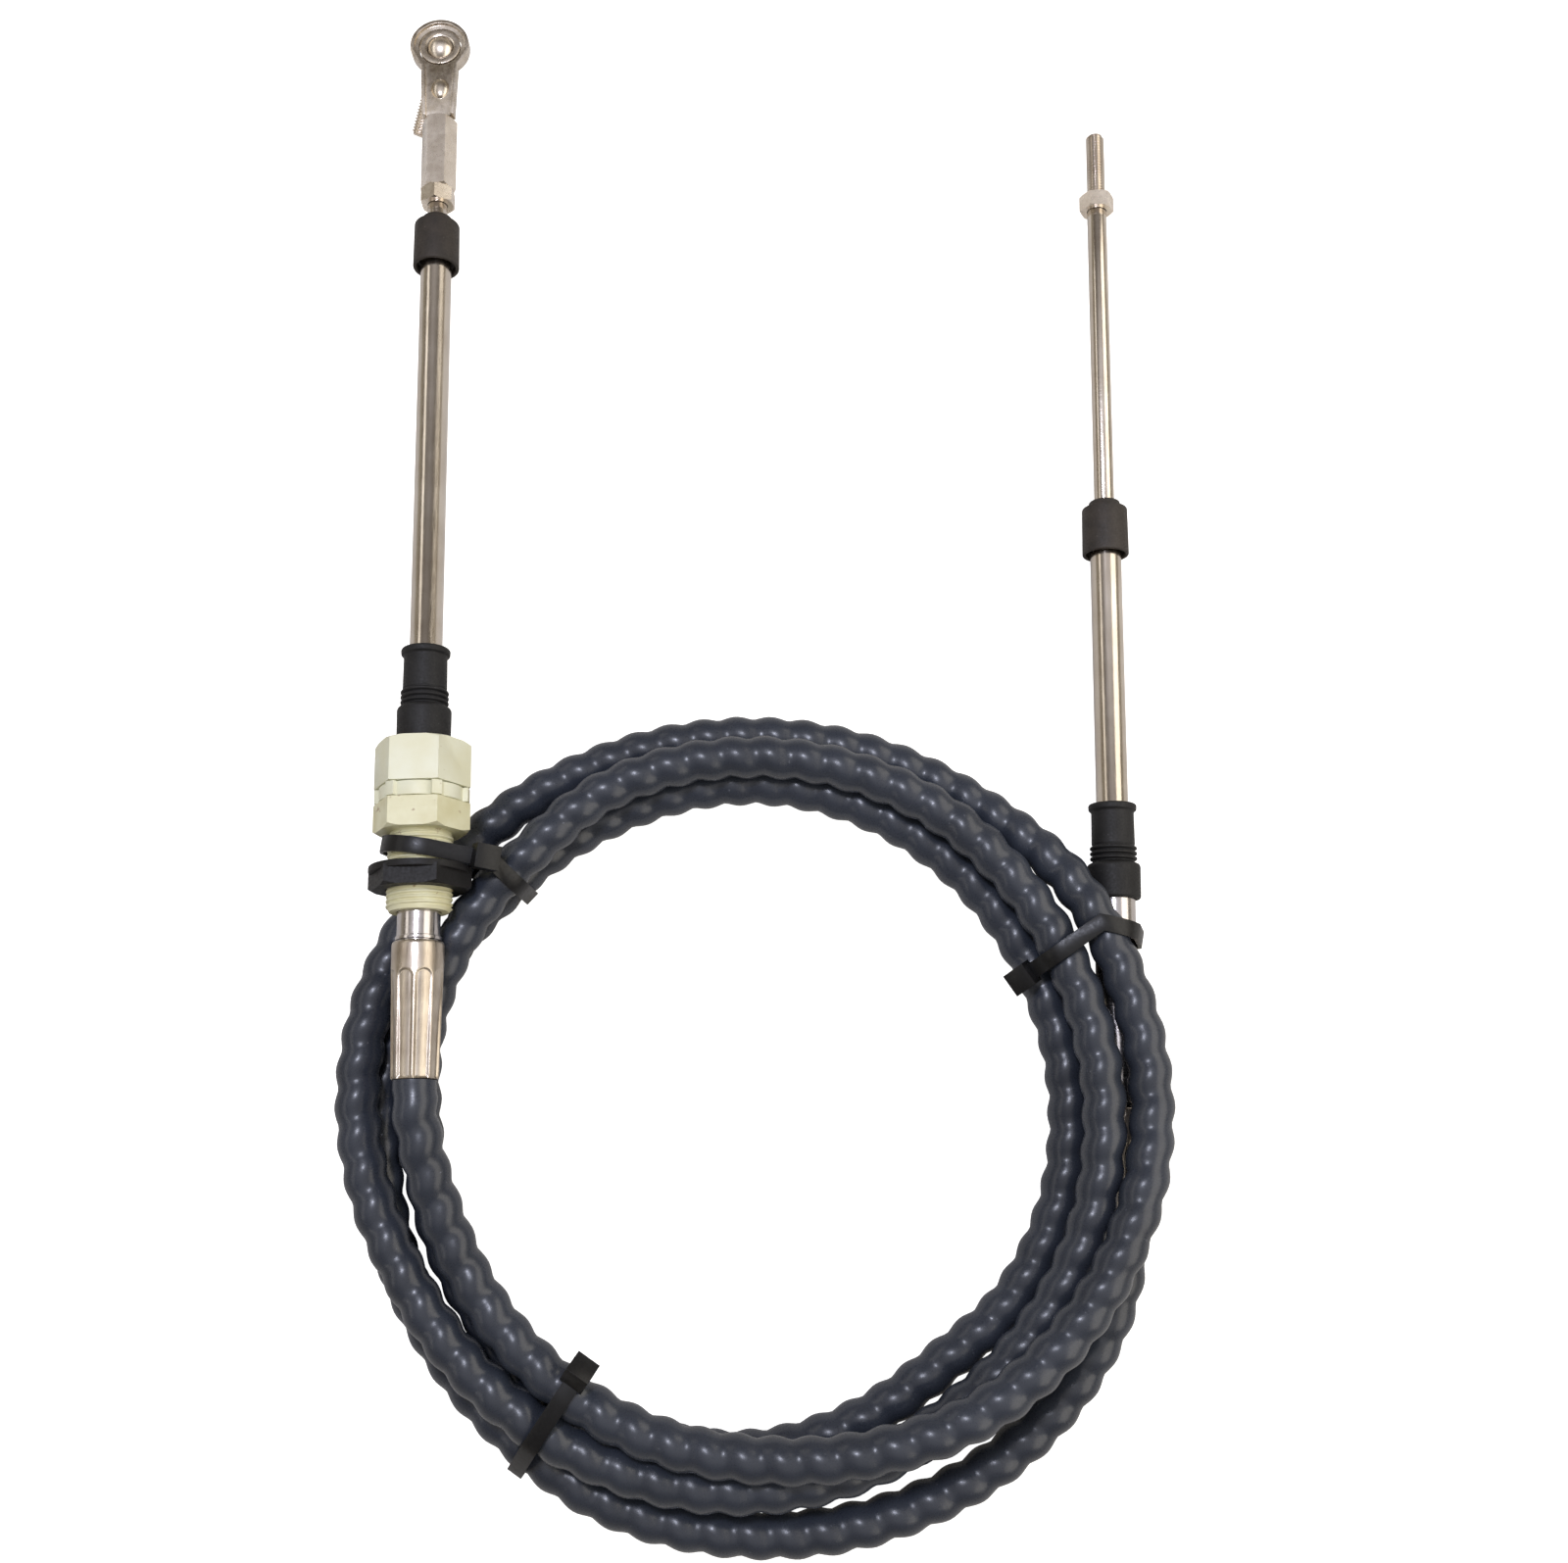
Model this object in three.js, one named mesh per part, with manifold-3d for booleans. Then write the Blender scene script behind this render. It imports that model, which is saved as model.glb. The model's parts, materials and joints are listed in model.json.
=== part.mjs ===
// Boat steering cable: a coiled conduit between two push-pull ends, tied in a hank for shipping.
// Millimetres, +Z up. The coil lies on the floor at z = 0, and both ends point along +Y.
import * as THREE from "three";
import { mergeVertices } from "three/addons/utils/BufferGeometryUtils.js";
import Module from "manifold-3d";

const wasm = await Module();
wasm.setup();

// General fits
const seatGap = 0.3;
const roundSides = 20;
const chamferSides = 24;
const ballSteps = 5;

// Conduit
const conduitRadius = 6.35;
const conduitSides = 12;
const conduitStep = 14;
const coilPointSpacing = 6;
const conduitLeadIn = 5;
const coilReach = 122.9;

// Crimped ferrule and hub, the same at both ends
const ferruleLength = 39.6;
const ferruleCollarLength = 8.3;
const ferruleCollarRadius = 7.55;
const ferruleCrimpRadius = 7.3;
const ferruleTipRadius = 6.6;
const ferruleChamfer = 0.8;
const hubRadius = 6.25;
const hubInFerrule = 18;
const coreBoreRadius = 2.2;

// Swivel inside the boot
const swivelBallRadius = 5.9;
const swivelSocketRadius = 7;
const swivelHeight = 7;
const swivelMouth = 2.5;
const swivelBallFoot = 3.8;
const swivelFloorGap = 0.8;
const swivelFlare = 0.8;

// Rubber boot
const bootLength = 29.9;
const bootLowerLength = 11.2;
const bootLowerRadius = 8.1;
const bootFootLip = 1.4;
const bootUpperRadius = 6.6;
const bootLipLength = 2.4;
const bootLipRadius = 7.4;
const bootRingCount = 3;
const bootRingPitch = 1.6;
const bootRingDepth = 0.7;
const bootRingRadius = 7.2;
const bootWall = 0.8;
const bootEdge = 0.5;

// Support tube and wiper cap
const tubeRadius = 4.9;
const capRadius = 7.35;
const capBodyLength = 15.6;
const capDomeLength = 2.4;
const capDomeRadius = 5.15;
const capSeatDepth = 12.5;
const capRecessDepth = 2.6;
const capRecessRadius = 6.2;
const capDraft = 0.15;
const capEdge = 0.8;

// Rods and their threads
const rodRadius = 3.175;
const threadRadius = 3;
const rodShoulder = 0.6;
const threadChamfer = 0.7;
const rodTravel = 76.2;

// Left end: bulkhead fitting, jam nut, coupling and ball joint
const leftHubShown = 59.8;
const leftTubeShown = 130.6;
const leftRodShown = 5.1;
const leftRodKept = 73.8;
const jamNutHeight = 5.4;
const jamNutTurn = 30;
const couplingLength = 26;
const couplingThread = 11;
const hexAcrossFlats = 10;
const hexChamfer = 0.8;
const nutChamfer = 0.7;

const threadBelowHex = 23.6;
const bulkheadHexHeight = 8.8;
const bulkheadAcrossFlats = 25;
const bulkheadChamfer = 1.5;
const bulkheadThreadRadius = 9.6;
const bulkheadThreadChamfer = 1;
const seamChamfer = 0.3;
const spigotRadius = 9.2;
const spigotHeight = 14.4;
const ringHeight = 4.9;
const ringRadius = 12.5;
const ringRibs = 6;
const ringRibWidth = 3;
const ringRibReach = 1.4;
const capNutHeight = 13.7;
const capNutRoof = 3.2;
const locknutBelowHex = 10.2;
const locknutHexHeight = 4.8;
const locknutFlangeHeight = 2.2;
const locknutAcrossFlats = 26.4;
const locknutFlangeRadius = 14.9;
const locknutEdge = 0.6;

const eyeBeyondCoupling = 27.2;
const eyeRadius = 9.75;
const eyeThickness = 2.5;
const eyeLift = 0.5;
const eyeNeckWidth = 12;
const eyeFootWidth = 10.5;
const eyeRimHeight = 1.1;
const eyeRimWidth = 1.3;
const eyeStemRadius = 3;
const eyeStemInCoupling = 11;
const eyeStemReach = 15;
const eyeFootGap = 0.6;
const raceRadius = 6.75;
const raceTop = 3.3;
const raceFoot = 0.2;
const raceEdge = 0.8;
const raceLip = 0.4;
const ballRadius = 5;
const raceGap = 0.25;
const studNeckRadius = 2.3;
const studNeckEnd = 10;
const studCollarLength = 2;
const studCollarRadius = 3.9;
const studLength = 28;
const studThreadRadius = 3;
const studHexAcrossFlats = 4;
const studHexDepth = 2.6;
const studTilt = 58;
const studHeading = 25;

// Right end: nut on the bare rod thread
const rightHubShown = 62.4;
const rightTubeShown = 81.5;
const rightRodShown = 103.6;
const rightRodKept = 30;
const rightNutHeight = 5.4;
const rightThreadBeyondNut = 22.6;

// Cable ties
const tieWidth = 4.8;
const tieThickness = 1.1;
const tieGap = 0.5;
const tieHeadLength = 7.4;
const tieHeadWidth = 7.2;
const tieHeadHeight = 5.4;
const strapSides = 16;

// Where the ties are: the angle of the conduit that they hold, the heading of the strap seen from
// above, where it bends and how far, and the side of a strand or the spot where the head sits
const lowerLeftTie = { angle: 236, headSide: 138 };
const rightTie = { angle: 27, x: 102.5, y: 55, heading: 34.5, bendStart: 0, bend: 46, headSide: 125 };
const upperLeftTie = { angle: 137, swing: 9, bendStart: 20.8, bend: 35, headAcross: 18.7 };

// Where the conduit leaves each ferrule, from the coil's centre, and how each end leans and slopes
const leftExit = { x: -96, y: 9, z: 34.2, lean: 1.7, slope: 2.6 };
const rightExit = { x: 108.9, y: -37.8, z: 8.5, lean: -0.9, slope: 0 };

// Stations of the coil: angle round it in degrees, radius and height of the conduit's centre
const coilStations = [
  [182, 94.9, 33.6],
  [188, 93.7, 31.4],
  [196, 92.6, 28],
  [209, 92.2, 23.8],
  [232, 92.2, 22.4],
  [250, 92.6, 24],
  [270, 93.6, 27],
  [290, 97.4, 29.9],
  [308, 102.8, 31],
  [325, 107.4, 30],
  [340, 111.2, 29.3],
  [350, 113.8, 27],
  [363, 116.2, 22.4],
  [380, 116.8, 21.9],
  [390, 117.6, 20.6],
  [398, 118, 16.6],
  [408, 117, 10.4],
  [420, 116.4, 6.7],
  [450, 116, 6.6],
  [475, 117.4, 6.7],
  [490, 119.2, 7.7],
  [500, 119.6, 8.1],
  [514, 118.8, 12.5],
  [525, 117.6, 17.3],
  [538, 115.8, 19],
  [551, 112.7, 19.9],
  [563, 109.4, 20.3],
  [573, 107.8, 20.4],
  [592, 105.6, 20.2],
  [607, 104.8, 17.9],
  [630, 103.6, 17.4],
  [650, 102.4, 16.5],
  [668, 101.2, 16.5],
  [685, 101.4, 17.6],
  [705, 102.2, 20.4],
  [720, 102.3, 21.5],
  [740, 103, 20.6],
  [760, 104.6, 18.6],
  [780, 106.4, 18.3],
  [810, 107, 18.6],
  [835, 106.2, 19.4],
  [850, 102.6, 21.1],
  [860, 102.2, 21.1],
  [870, 102, 19.9],
  [880, 101.4, 18],
  [889, 100.4, 16.4],
  [900, 99.2, 10.6],
  [910, 98.8, 6.7],
  [933, 97.6, 6.9],
  [956, 97, 8.1],
  [972, 96.8, 6.8],
  [990, 95.6, 6.6],
  [1010, 92.2, 6.6],
  [1028, 89.8, 6.6],
  [1045, 92.6, 6.6],
  [1065, 94.2, 6.6],
  [1080, 94.6, 6.9],
  [1107, 95.4, 8.1],
  [1130, 97.6, 6.8],
  [1150, 99.6, 6.6],
  [1170, 101, 6.6],
  [1195, 101, 6.8],
  [1212, 101.6, 7.9],
  [1221, 102.7, 8],
  [1230, 104.9, 7],
  [1240, 107.9, 6.6],
  [1250, 110.4, 6.6],
  [1260, 111.8, 6.6],
  [1280, 112.6, 6.6],
  [1297, 112.5, 7],
  [1316, 113.6, 8.1],
  [1328, 116, 6.9],
  [1350, 117.4, 6.6],
  [1370, 119.4, 6.6],
  [1387, 120.8, 6.7],
  [1400, 120.7, 7.2],
  [1411, 119.3, 8.2],
];

const degrees = Math.PI / 180;

// Colours and finishes
function material(color, roughness, metalness = 0) {
  return new THREE.MeshStandardMaterial({ color, roughness, metalness });
}

const stainless = [0xb9b2a6, 0.28, 0.95];
const conduitCover = [0x3d434e, 0.42];
const blackRubber = [0x1c1b1c, 0.75];
const capPlastic = [0x39312a, 0.6];
const ivoryPlastic = [0xe6e2c8, 0.5];
const blackPlastic = [0x2b2a2b, 0.55];
const tiePlastic = [0x17181a, 0.35];

// Shapes turned about the local Y axis from a list of [radius, position] corners
function turned(profile, sides = roundSides) {
  const closed = [...profile, profile[0]];
  const points = closed.map(([radius, along]) => new THREE.Vector2(radius, along));
  return new THREE.LatheGeometry(points, sides);
}

function arc(radius, centre, fromAngle, toAngle, steps) {
  const points = [];
  for (let i = 0; i <= steps; i += 1) {
    const angle = (fromAngle + ((toAngle - fromAngle) * i) / steps) * degrees;
    points.push([radius * Math.cos(angle), centre + radius * Math.sin(angle)]);
  }
  return points;
}

// Solids for joining and cutting
function solid(geometry) {
  const bare = geometry.clone();
  bare.deleteAttribute("normal");
  bare.deleteAttribute("uv");
  const merged = mergeVertices(bare, 1e-4);
  const vertProperties = Float32Array.from(merged.attributes.position.array);
  const triVerts = Uint32Array.from(merged.index.array);
  return new wasm.Manifold(new wasm.Mesh({ numProp: 3, vertProperties, triVerts }));
}

function geometryOf(manifold) {
  const mesh = manifold.getMesh();
  const geometry = new THREE.BufferGeometry();
  geometry.setAttribute("position", new THREE.BufferAttribute(Float32Array.from(mesh.vertProperties), 3));
  geometry.setIndex(new THREE.BufferAttribute(Uint32Array.from(mesh.triVerts), 1));
  geometry.computeVertexNormals();
  return geometry;
}

function alongY(geometry) {
  return geometry.rotateX(-Math.PI / 2);
}

function hexOutline(acrossFlats) {
  const corner = acrossFlats / 2 / Math.cos(Math.PI / 6);
  const outline = new THREE.Shape();
  for (let i = 0; i < 6; i += 1) {
    const angle = i * 60 * degrees;
    const x = corner * Math.cos(angle);
    const y = corner * Math.sin(angle);
    if (i === 0) outline.moveTo(x, y);
    else outline.lineTo(x, y);
  }
  outline.closePath();
  return outline;
}

// A hexagonal prism from start to end along Y, its corners turned down by the chamfer at each end
function hexPrism(acrossFlats, start, end, startChamfer, endChamfer) {
  const height = end - start;
  const options = { depth: height, bevelEnabled: false };
  const prism = alongY(new THREE.ExtrudeGeometry(hexOutline(acrossFlats), options));
  prism.translate(0, start, 0);
  const corner = acrossFlats / 2 / Math.cos(Math.PI / 6) + 0.01;
  const profile = [
    [0, start],
    [corner - startChamfer, start],
    [corner, start + startChamfer * 0.6],
    [corner, end - endChamfer * 0.6],
    [corner - endChamfer, end],
    [0, end],
  ];
  return solid(prism).intersect(solid(turned(profile, chamferSides)));
}

function rod(radius, start, end, sides = roundSides) {
  return turned([[0, start], [radius, start], [radius, end], [0, end]], sides);
}

function bored(body, radius, start, end) {
  return body.subtract(solid(rod(radius, start - 1, end + 1)));
}

function mesh(name, geometry, look) {
  const piece = new THREE.Mesh(geometry, material(...look));
  piece.name = name;
  return piece;
}

// Positions along an end, from the conduit's cut face outwards
const ferruleTop = ferruleLength;
const leftBootStart = ferruleTop + leftHubShown;
const rightBootStart = ferruleTop + rightHubShown;
const leftCapStart = leftBootStart + bootLength + leftTubeShown;
const rightCapStart = rightBootStart + bootLength + rightTubeShown;
const capLength = capBodyLength + capDomeLength;
const leftNutStart = leftCapStart + capLength + leftRodShown;
const rightNutStart = rightCapStart + capLength + rightRodShown;
const couplingStart = leftNutStart + jamNutHeight + seatGap / 2;
const couplingTop = couplingStart + couplingLength;
const eyeCentre = couplingTop + eyeBeyondCoupling;

function ferrule() {
  const bottom = seatGap;
  const collarStart = ferruleTop - ferruleCollarLength;
  const seat = ferruleTop - hubInFerrule - seatGap;
  return turned([
    [coreBoreRadius, bottom],
    [ferruleTipRadius, bottom],
    [ferruleCrimpRadius, collarStart - ferruleChamfer],
    [ferruleCollarRadius, collarStart],
    [ferruleCollarRadius, ferruleTop - ferruleChamfer],
    [ferruleCollarRadius - ferruleChamfer, ferruleTop],
    [hubRadius + seatGap, ferruleTop],
    [hubRadius + seatGap, seat],
    [coreBoreRadius, seat],
  ]);
}

function hub(bootStart) {
  const start = ferruleTop - hubInFerrule;
  const cavity = swivelBallRadius + seatGap;
  const floorHeight = swivelBallFoot + swivelFloorGap;
  const floorAngle = -Math.asin(floorHeight / cavity) / degrees;
  const swivelCentre = bootStart + swivelHeight;
  const mouthAngle = Math.asin(swivelMouth / cavity) / degrees;
  const flare = bootStart + bootFootLip + seatGap;
  return turned([
    [coreBoreRadius, start],
    [hubRadius, start],
    [hubRadius, flare],
    [swivelSocketRadius, flare + swivelFlare],
    [swivelSocketRadius, swivelCentre + swivelMouth],
    ...arc(cavity, swivelCentre, mouthAngle, floorAngle, ballSteps),
    [coreBoreRadius, swivelCentre - floorHeight],
  ]);
}

function supportTube(bootStart, capStart) {
  const swivelCentre = bootStart + swivelHeight;
  const bore = rodRadius + seatGap;
  const top = capStart + capSeatDepth - seatGap;
  const footAngle = -Math.asin(swivelBallFoot / swivelBallRadius) / degrees;
  const neckAngle = Math.acos(tubeRadius / swivelBallRadius) / degrees;
  return turned([
    [bore, swivelCentre - swivelBallFoot],
    ...arc(swivelBallRadius, swivelCentre, footAngle, neckAngle, ballSteps),
    [tubeRadius, top],
    [bore, top],
  ]);
}

function boot(bootStart) {
  const bootTop = bootStart + bootLength;
  const rings = [];
  const ringStart = bootStart + bootLowerLength;
  for (let i = 0; i < bootRingCount; i += 1) {
    const foot = ringStart + (i + 0.5) * bootRingPitch;
    rings.push([bootRingRadius - bootRingDepth, foot]);
    rings.push([bootRingRadius, foot + bootRingPitch / 2]);
  }
  const ringTop = ringStart + (bootRingCount + 0.5) * bootRingPitch;
  const socketInside = swivelSocketRadius + seatGap;
  const bellowsInside = bootRingRadius - bootRingDepth - bootWall;
  return turned([
    [hubRadius + seatGap, bootStart + seatGap],
    [bootLowerRadius - bootEdge, bootStart + seatGap],
    [bootLowerRadius, bootStart + 2 * bootEdge],
    [bootLowerRadius, ringStart - bootEdge],
    ...rings,
    [bootUpperRadius, ringTop + bootEdge],
    [bootUpperRadius, bootTop - bootLipLength],
    [bootLipRadius, bootTop - bootLipLength + bootEdge],
    [bootLipRadius, bootTop - bootEdge],
    [bootLipRadius - bootEdge, bootTop],
    [tubeRadius + seatGap, bootTop],
    [tubeRadius + seatGap, ringTop + 2 * bootEdge],
    [bellowsInside, ringTop],
    [bellowsInside, ringStart + 2 * bootEdge],
    [socketInside, ringStart - 3 * bootEdge],
    [socketInside, bootStart + bootFootLip + seatGap],
    [hubRadius + seatGap, bootStart + bootFootLip],
  ]);
}

function wiperCap(capStart) {
  const rodHole = rodRadius + seatGap;
  const shoulder = capStart + capBodyLength;
  return turned([
    [capRecessRadius, capStart],
    [capRadius, capStart],
    [capRadius - capDraft, shoulder - capEdge],
    [capRadius - capEdge, shoulder],
    [capDomeRadius, shoulder],
    [capDomeRadius - capEdge / 2, shoulder + capDomeLength - capEdge],
    [capDomeRadius - 1.5 * capEdge, shoulder + capDomeLength],
    [rodHole, shoulder + capDomeLength],
    [rodHole, capStart + capSeatDepth],
    [tubeRadius + seatGap, capStart + capSeatDepth],
    [tubeRadius + seatGap, capStart + capRecessDepth],
    [capRecessRadius, capStart + capRecessDepth],
  ]);
}

function threadedRod(innerEnd, shoulder, tip) {
  return turned([
    [0, innerEnd],
    [rodRadius, innerEnd],
    [rodRadius, shoulder - rodShoulder],
    [threadRadius, shoulder],
    [threadRadius, tip - threadChamfer],
    [threadRadius - threadChamfer, tip],
    [0, tip],
  ]);
}

function nut(start, height) {
  const prism = hexPrism(hexAcrossFlats, start, start + height, nutChamfer, nutChamfer);
  return geometryOf(bored(prism, threadRadius + seatGap, start, start + height));
}

function coupling() {
  const prism = hexPrism(hexAcrossFlats, couplingStart, couplingTop, hexChamfer, hexChamfer);
  return geometryOf(bored(prism, threadRadius + seatGap, couplingStart, couplingTop));
}

// The bulkhead fitting that clamps the left end in a hull wall
const capNutTop = leftBootStart;
const capNutStart = capNutTop - capNutHeight;
const bulkheadHexTop = capNutStart - ringHeight;
const bulkheadHexStart = bulkheadHexTop - bulkheadHexHeight;
const bulkheadStart = bulkheadHexStart - threadBelowHex;
const locknutTop = bulkheadHexStart - locknutBelowHex;
const locknutFlangeStart = locknutTop - locknutFlangeHeight;
const locknutStart = locknutFlangeStart - locknutHexHeight;

function bulkheadBody() {
  const hex = hexPrism(bulkheadAcrossFlats, bulkheadHexStart, bulkheadHexTop, bulkheadChamfer, seamChamfer);
  const thread = solid(turned([
    [0, bulkheadStart],
    [bulkheadThreadRadius - bulkheadThreadChamfer, bulkheadStart],
    [bulkheadThreadRadius, bulkheadStart + bulkheadThreadChamfer],
    [bulkheadThreadRadius, bulkheadHexStart + 1],
    [0, bulkheadHexStart + 1],
  ]));
  const spigot = solid(rod(spigotRadius, bulkheadHexTop - 1, bulkheadHexTop + spigotHeight));
  const whole = hex.add(thread).add(spigot);
  return geometryOf(bored(whole, hubRadius + seatGap, bulkheadStart, bulkheadHexTop + spigotHeight));
}

function bulkheadRing() {
  const start = bulkheadHexTop + seatGap;
  const end = capNutStart - seatGap;
  let ring = solid(turned([
    [spigotRadius + seatGap, start],
    [ringRadius, start],
    [ringRadius, end],
    [spigotRadius + seatGap, end],
  ]));
  for (let i = 0; i < ringRibs; i += 1) {
    const rib = new THREE.BoxGeometry(ringRibReach * 2, end - start, ringRibWidth);
    rib.translate(ringRadius, (start + end) / 2, 0);
    rib.rotateY((i * 360 * degrees) / ringRibs);
    ring = ring.add(solid(rib));
  }
  return geometryOf(ring);
}

function capNut() {
  const prism = hexPrism(bulkheadAcrossFlats, capNutStart, capNutTop, seamChamfer, bulkheadChamfer);
  const cavity = solid(rod(spigotRadius + seatGap, capNutStart - 1, capNutTop - capNutRoof));
  return geometryOf(bored(prism.subtract(cavity), hubRadius + seatGap, capNutStart, capNutTop));
}

function locknut() {
  const hex = hexPrism(locknutAcrossFlats, locknutStart, locknutTop - locknutEdge, bulkheadChamfer, 0);
  const flange = solid(turned([
    [0, locknutFlangeStart],
    [locknutFlangeRadius - locknutEdge, locknutFlangeStart],
    [locknutFlangeRadius, locknutFlangeStart + locknutEdge],
    [locknutFlangeRadius, locknutTop - locknutEdge],
    [locknutFlangeRadius - locknutEdge, locknutTop],
    [0, locknutTop],
  ]));
  return geometryOf(bored(hex.add(flange), bulkheadThreadRadius + seatGap, locknutStart, locknutTop));
}

// The pressed eye: a flat face with a raised rim, and a stem screwed into the coupling
function eyeFace(inset, foot) {
  const radius = eyeRadius - inset;
  const outline = new THREE.Shape();
  const join = Math.acos((eyeNeckWidth / 2 - inset) / radius);
  outline.moveTo(inset - eyeFootWidth / 2, foot);
  outline.lineTo(eyeFootWidth / 2 - inset, foot);
  outline.absarc(0, 0, radius, -join, Math.PI + join, false);
  outline.closePath();
  return outline;
}

function eye() {
  const foot = -(eyeBeyondCoupling - eyeFootGap);
  const base = eyeFace(0, foot);
  const inner = eyeFace(eyeRimWidth, foot - 1);
  const options = { bevelEnabled: false, curveSegments: roundSides };
  const plate = new THREE.ExtrudeGeometry(base, { depth: eyeThickness, ...options });
  const rim = new THREE.ExtrudeGeometry(base, { depth: eyeThickness + eyeRimHeight, ...options });
  const hollow = new THREE.ExtrudeGeometry(inner, { depth: eyeRimHeight + 1, ...options });
  hollow.translate(0, 0, eyeThickness);
  const holeRadius = raceRadius + seatGap;
  const hole = new THREE.CylinderGeometry(holeRadius, holeRadius, 2 * raceRadius, roundSides);
  hole.rotateX(Math.PI / 2);
  const stemEnd = eyeStemReach - eyeBeyondCoupling;
  const stem = rod(eyeStemRadius, -(eyeBeyondCoupling + eyeStemInCoupling), stemEnd);
  stem.translate(0, 0, -eyeLift);
  const whole = solid(plate).add(solid(rim).subtract(solid(hollow))).add(solid(stem)).subtract(solid(hole));
  const geometry = geometryOf(whole);
  geometry.translate(0, eyeCentre, eyeLift);
  return geometry;
}

function ballRace() {
  const inside = ballRadius + raceGap;
  const footAngle = -Math.asin(raceFoot / inside) / degrees;
  const topAngle = Math.asin((raceTop - raceLip) / inside) / degrees;
  const ring = turned([
    [raceRadius - raceEdge, -raceFoot],
    [raceRadius, 0],
    [raceRadius, raceTop - raceEdge],
    [raceRadius - raceEdge, raceTop],
    [inside * Math.cos(topAngle * degrees) + raceLip, raceTop],
    ...arc(inside, 0, topAngle, footAngle, ballSteps),
  ]);
  ring.rotateX(Math.PI / 2);
  ring.translate(0, eyeCentre, 0);
  return ring;
}

function ballStud() {
  const neckAngle = -Math.acos(studNeckRadius / ballRadius) / degrees;
  const collarEnd = studNeckEnd + studCollarLength;
  const body = solid(turned([
    [0, -studLength],
    [studThreadRadius - threadChamfer, -studLength],
    [studThreadRadius, -studLength + threadChamfer],
    [studThreadRadius, -collarEnd],
    [studCollarRadius, -collarEnd],
    [studCollarRadius, -studNeckEnd],
    [studNeckRadius, -studNeckEnd],
    ...arc(ballRadius, 0, neckAngle, 90, 2 * ballSteps),
  ]));
  const start = ballRadius - studHexDepth;
  const keyOptions = { depth: ballRadius, bevelEnabled: false };
  const key = alongY(new THREE.ExtrudeGeometry(hexOutline(studHexAcrossFlats), keyOptions));
  key.translate(0, start, 0);
  return geometryOf(body.subtract(solid(key)));
}

// One end: its pieces lie along the local Y axis, with the conduit's cut face at 0
function endPlacedAt(exit) {
  const end = new THREE.Group();
  end.position.set(exit.x, exit.y, exit.z);
  end.rotation.set(-exit.slope * degrees, 0, exit.lean * degrees, "ZXY");
  return end;
}

function addSharedPieces(end, side, bootStart, capStart) {
  end.add(mesh(`${side}_ferrule`, ferrule(), stainless));
  end.add(mesh(`${side}_hub`, hub(bootStart), stainless));
  end.add(mesh(`${side}_boot`, boot(bootStart), blackRubber));
  end.add(mesh(`${side}_support_tube`, supportTube(bootStart, capStart), stainless));
  end.add(mesh(`${side}_wiper_cap`, wiperCap(capStart), capPlastic));
}

const leftEnd = endPlacedAt(leftExit);
addSharedPieces(leftEnd, "left", leftBootStart, leftCapStart);
const leftInner = leftCapStart + capLength - rodTravel - leftRodKept;
const leftTip = couplingStart + couplingThread;
leftEnd.add(mesh("left_rod", threadedRod(leftInner, leftNutStart, leftTip), stainless));
const jamNut = nut(leftNutStart, jamNutHeight).rotateY(jamNutTurn * degrees);
leftEnd.add(mesh("left_jam_nut", jamNut, stainless));
leftEnd.add(mesh("rod_end_coupling", coupling(), stainless));
leftEnd.add(mesh("rod_end_eye", eye(), stainless));
leftEnd.add(mesh("ball_race", ballRace(), stainless));
leftEnd.add(mesh("bulkhead_body", bulkheadBody(), ivoryPlastic));
leftEnd.add(mesh("bulkhead_ring", bulkheadRing(), ivoryPlastic));
leftEnd.add(mesh("bulkhead_cap_nut", capNut(), ivoryPlastic));
leftEnd.add(mesh("bulkhead_locknut", locknut(), blackPlastic));

const stud = mesh("ball_stud", ballStud(), stainless);
stud.position.set(0, eyeCentre, 0);
stud.rotation.set((90 - studTilt) * degrees, 0, -studHeading * degrees, "ZXY");
leftEnd.add(stud);

const rightEnd = endPlacedAt(rightExit);
addSharedPieces(rightEnd, "right", rightBootStart, rightCapStart);
const rightInner = rightCapStart + capLength - rightRodKept;
const rightTip = rightNutStart + rightNutHeight + rightThreadBeyondNut;
rightEnd.add(mesh("right_rod", threadedRod(rightInner, rightNutStart, rightTip), stainless));
rightEnd.add(mesh("right_nut", nut(rightNutStart, rightNutHeight), stainless));

// The conduit's centre line: a smooth curve through the stations, by angle
function slopeAt(column, i) {
  const before = coilStations[Math.max(i - 1, 0)];
  const after = coilStations[Math.min(i + 1, coilStations.length - 1)];
  return (after[column] - before[column]) / (after[0] - before[0]);
}

function stationValue(column, angle) {
  let i = 0;
  while (i < coilStations.length - 2 && coilStations[i + 1][0] < angle) i += 1;
  const from = coilStations[i];
  const to = coilStations[i + 1];
  const span = to[0] - from[0];
  const u = (angle - from[0]) / span;
  const startPart = (2 * u ** 3 - 3 * u ** 2 + 1) * from[column] + (3 * u ** 2 - 2 * u ** 3) * to[column];
  const startSlope = (u ** 3 - 2 * u ** 2 + u) * slopeAt(column, i);
  const endSlope = (u ** 3 - u ** 2) * slopeAt(column, i + 1);
  return startPart + (startSlope + endSlope) * span;
}

function coilPoint(angle) {
  const radius = stationValue(1, angle);
  return new THREE.Vector3(
    radius * Math.cos(angle * degrees),
    radius * Math.sin(angle * degrees),
    stationValue(2, angle),
  );
}

// Points along an end's axis below its ferrule, in the coil's frame
function belowFerrule(end, distance) {
  end.updateMatrix();
  return new THREE.Vector3(0, -distance, 0).applyMatrix4(end.matrix);
}

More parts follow.
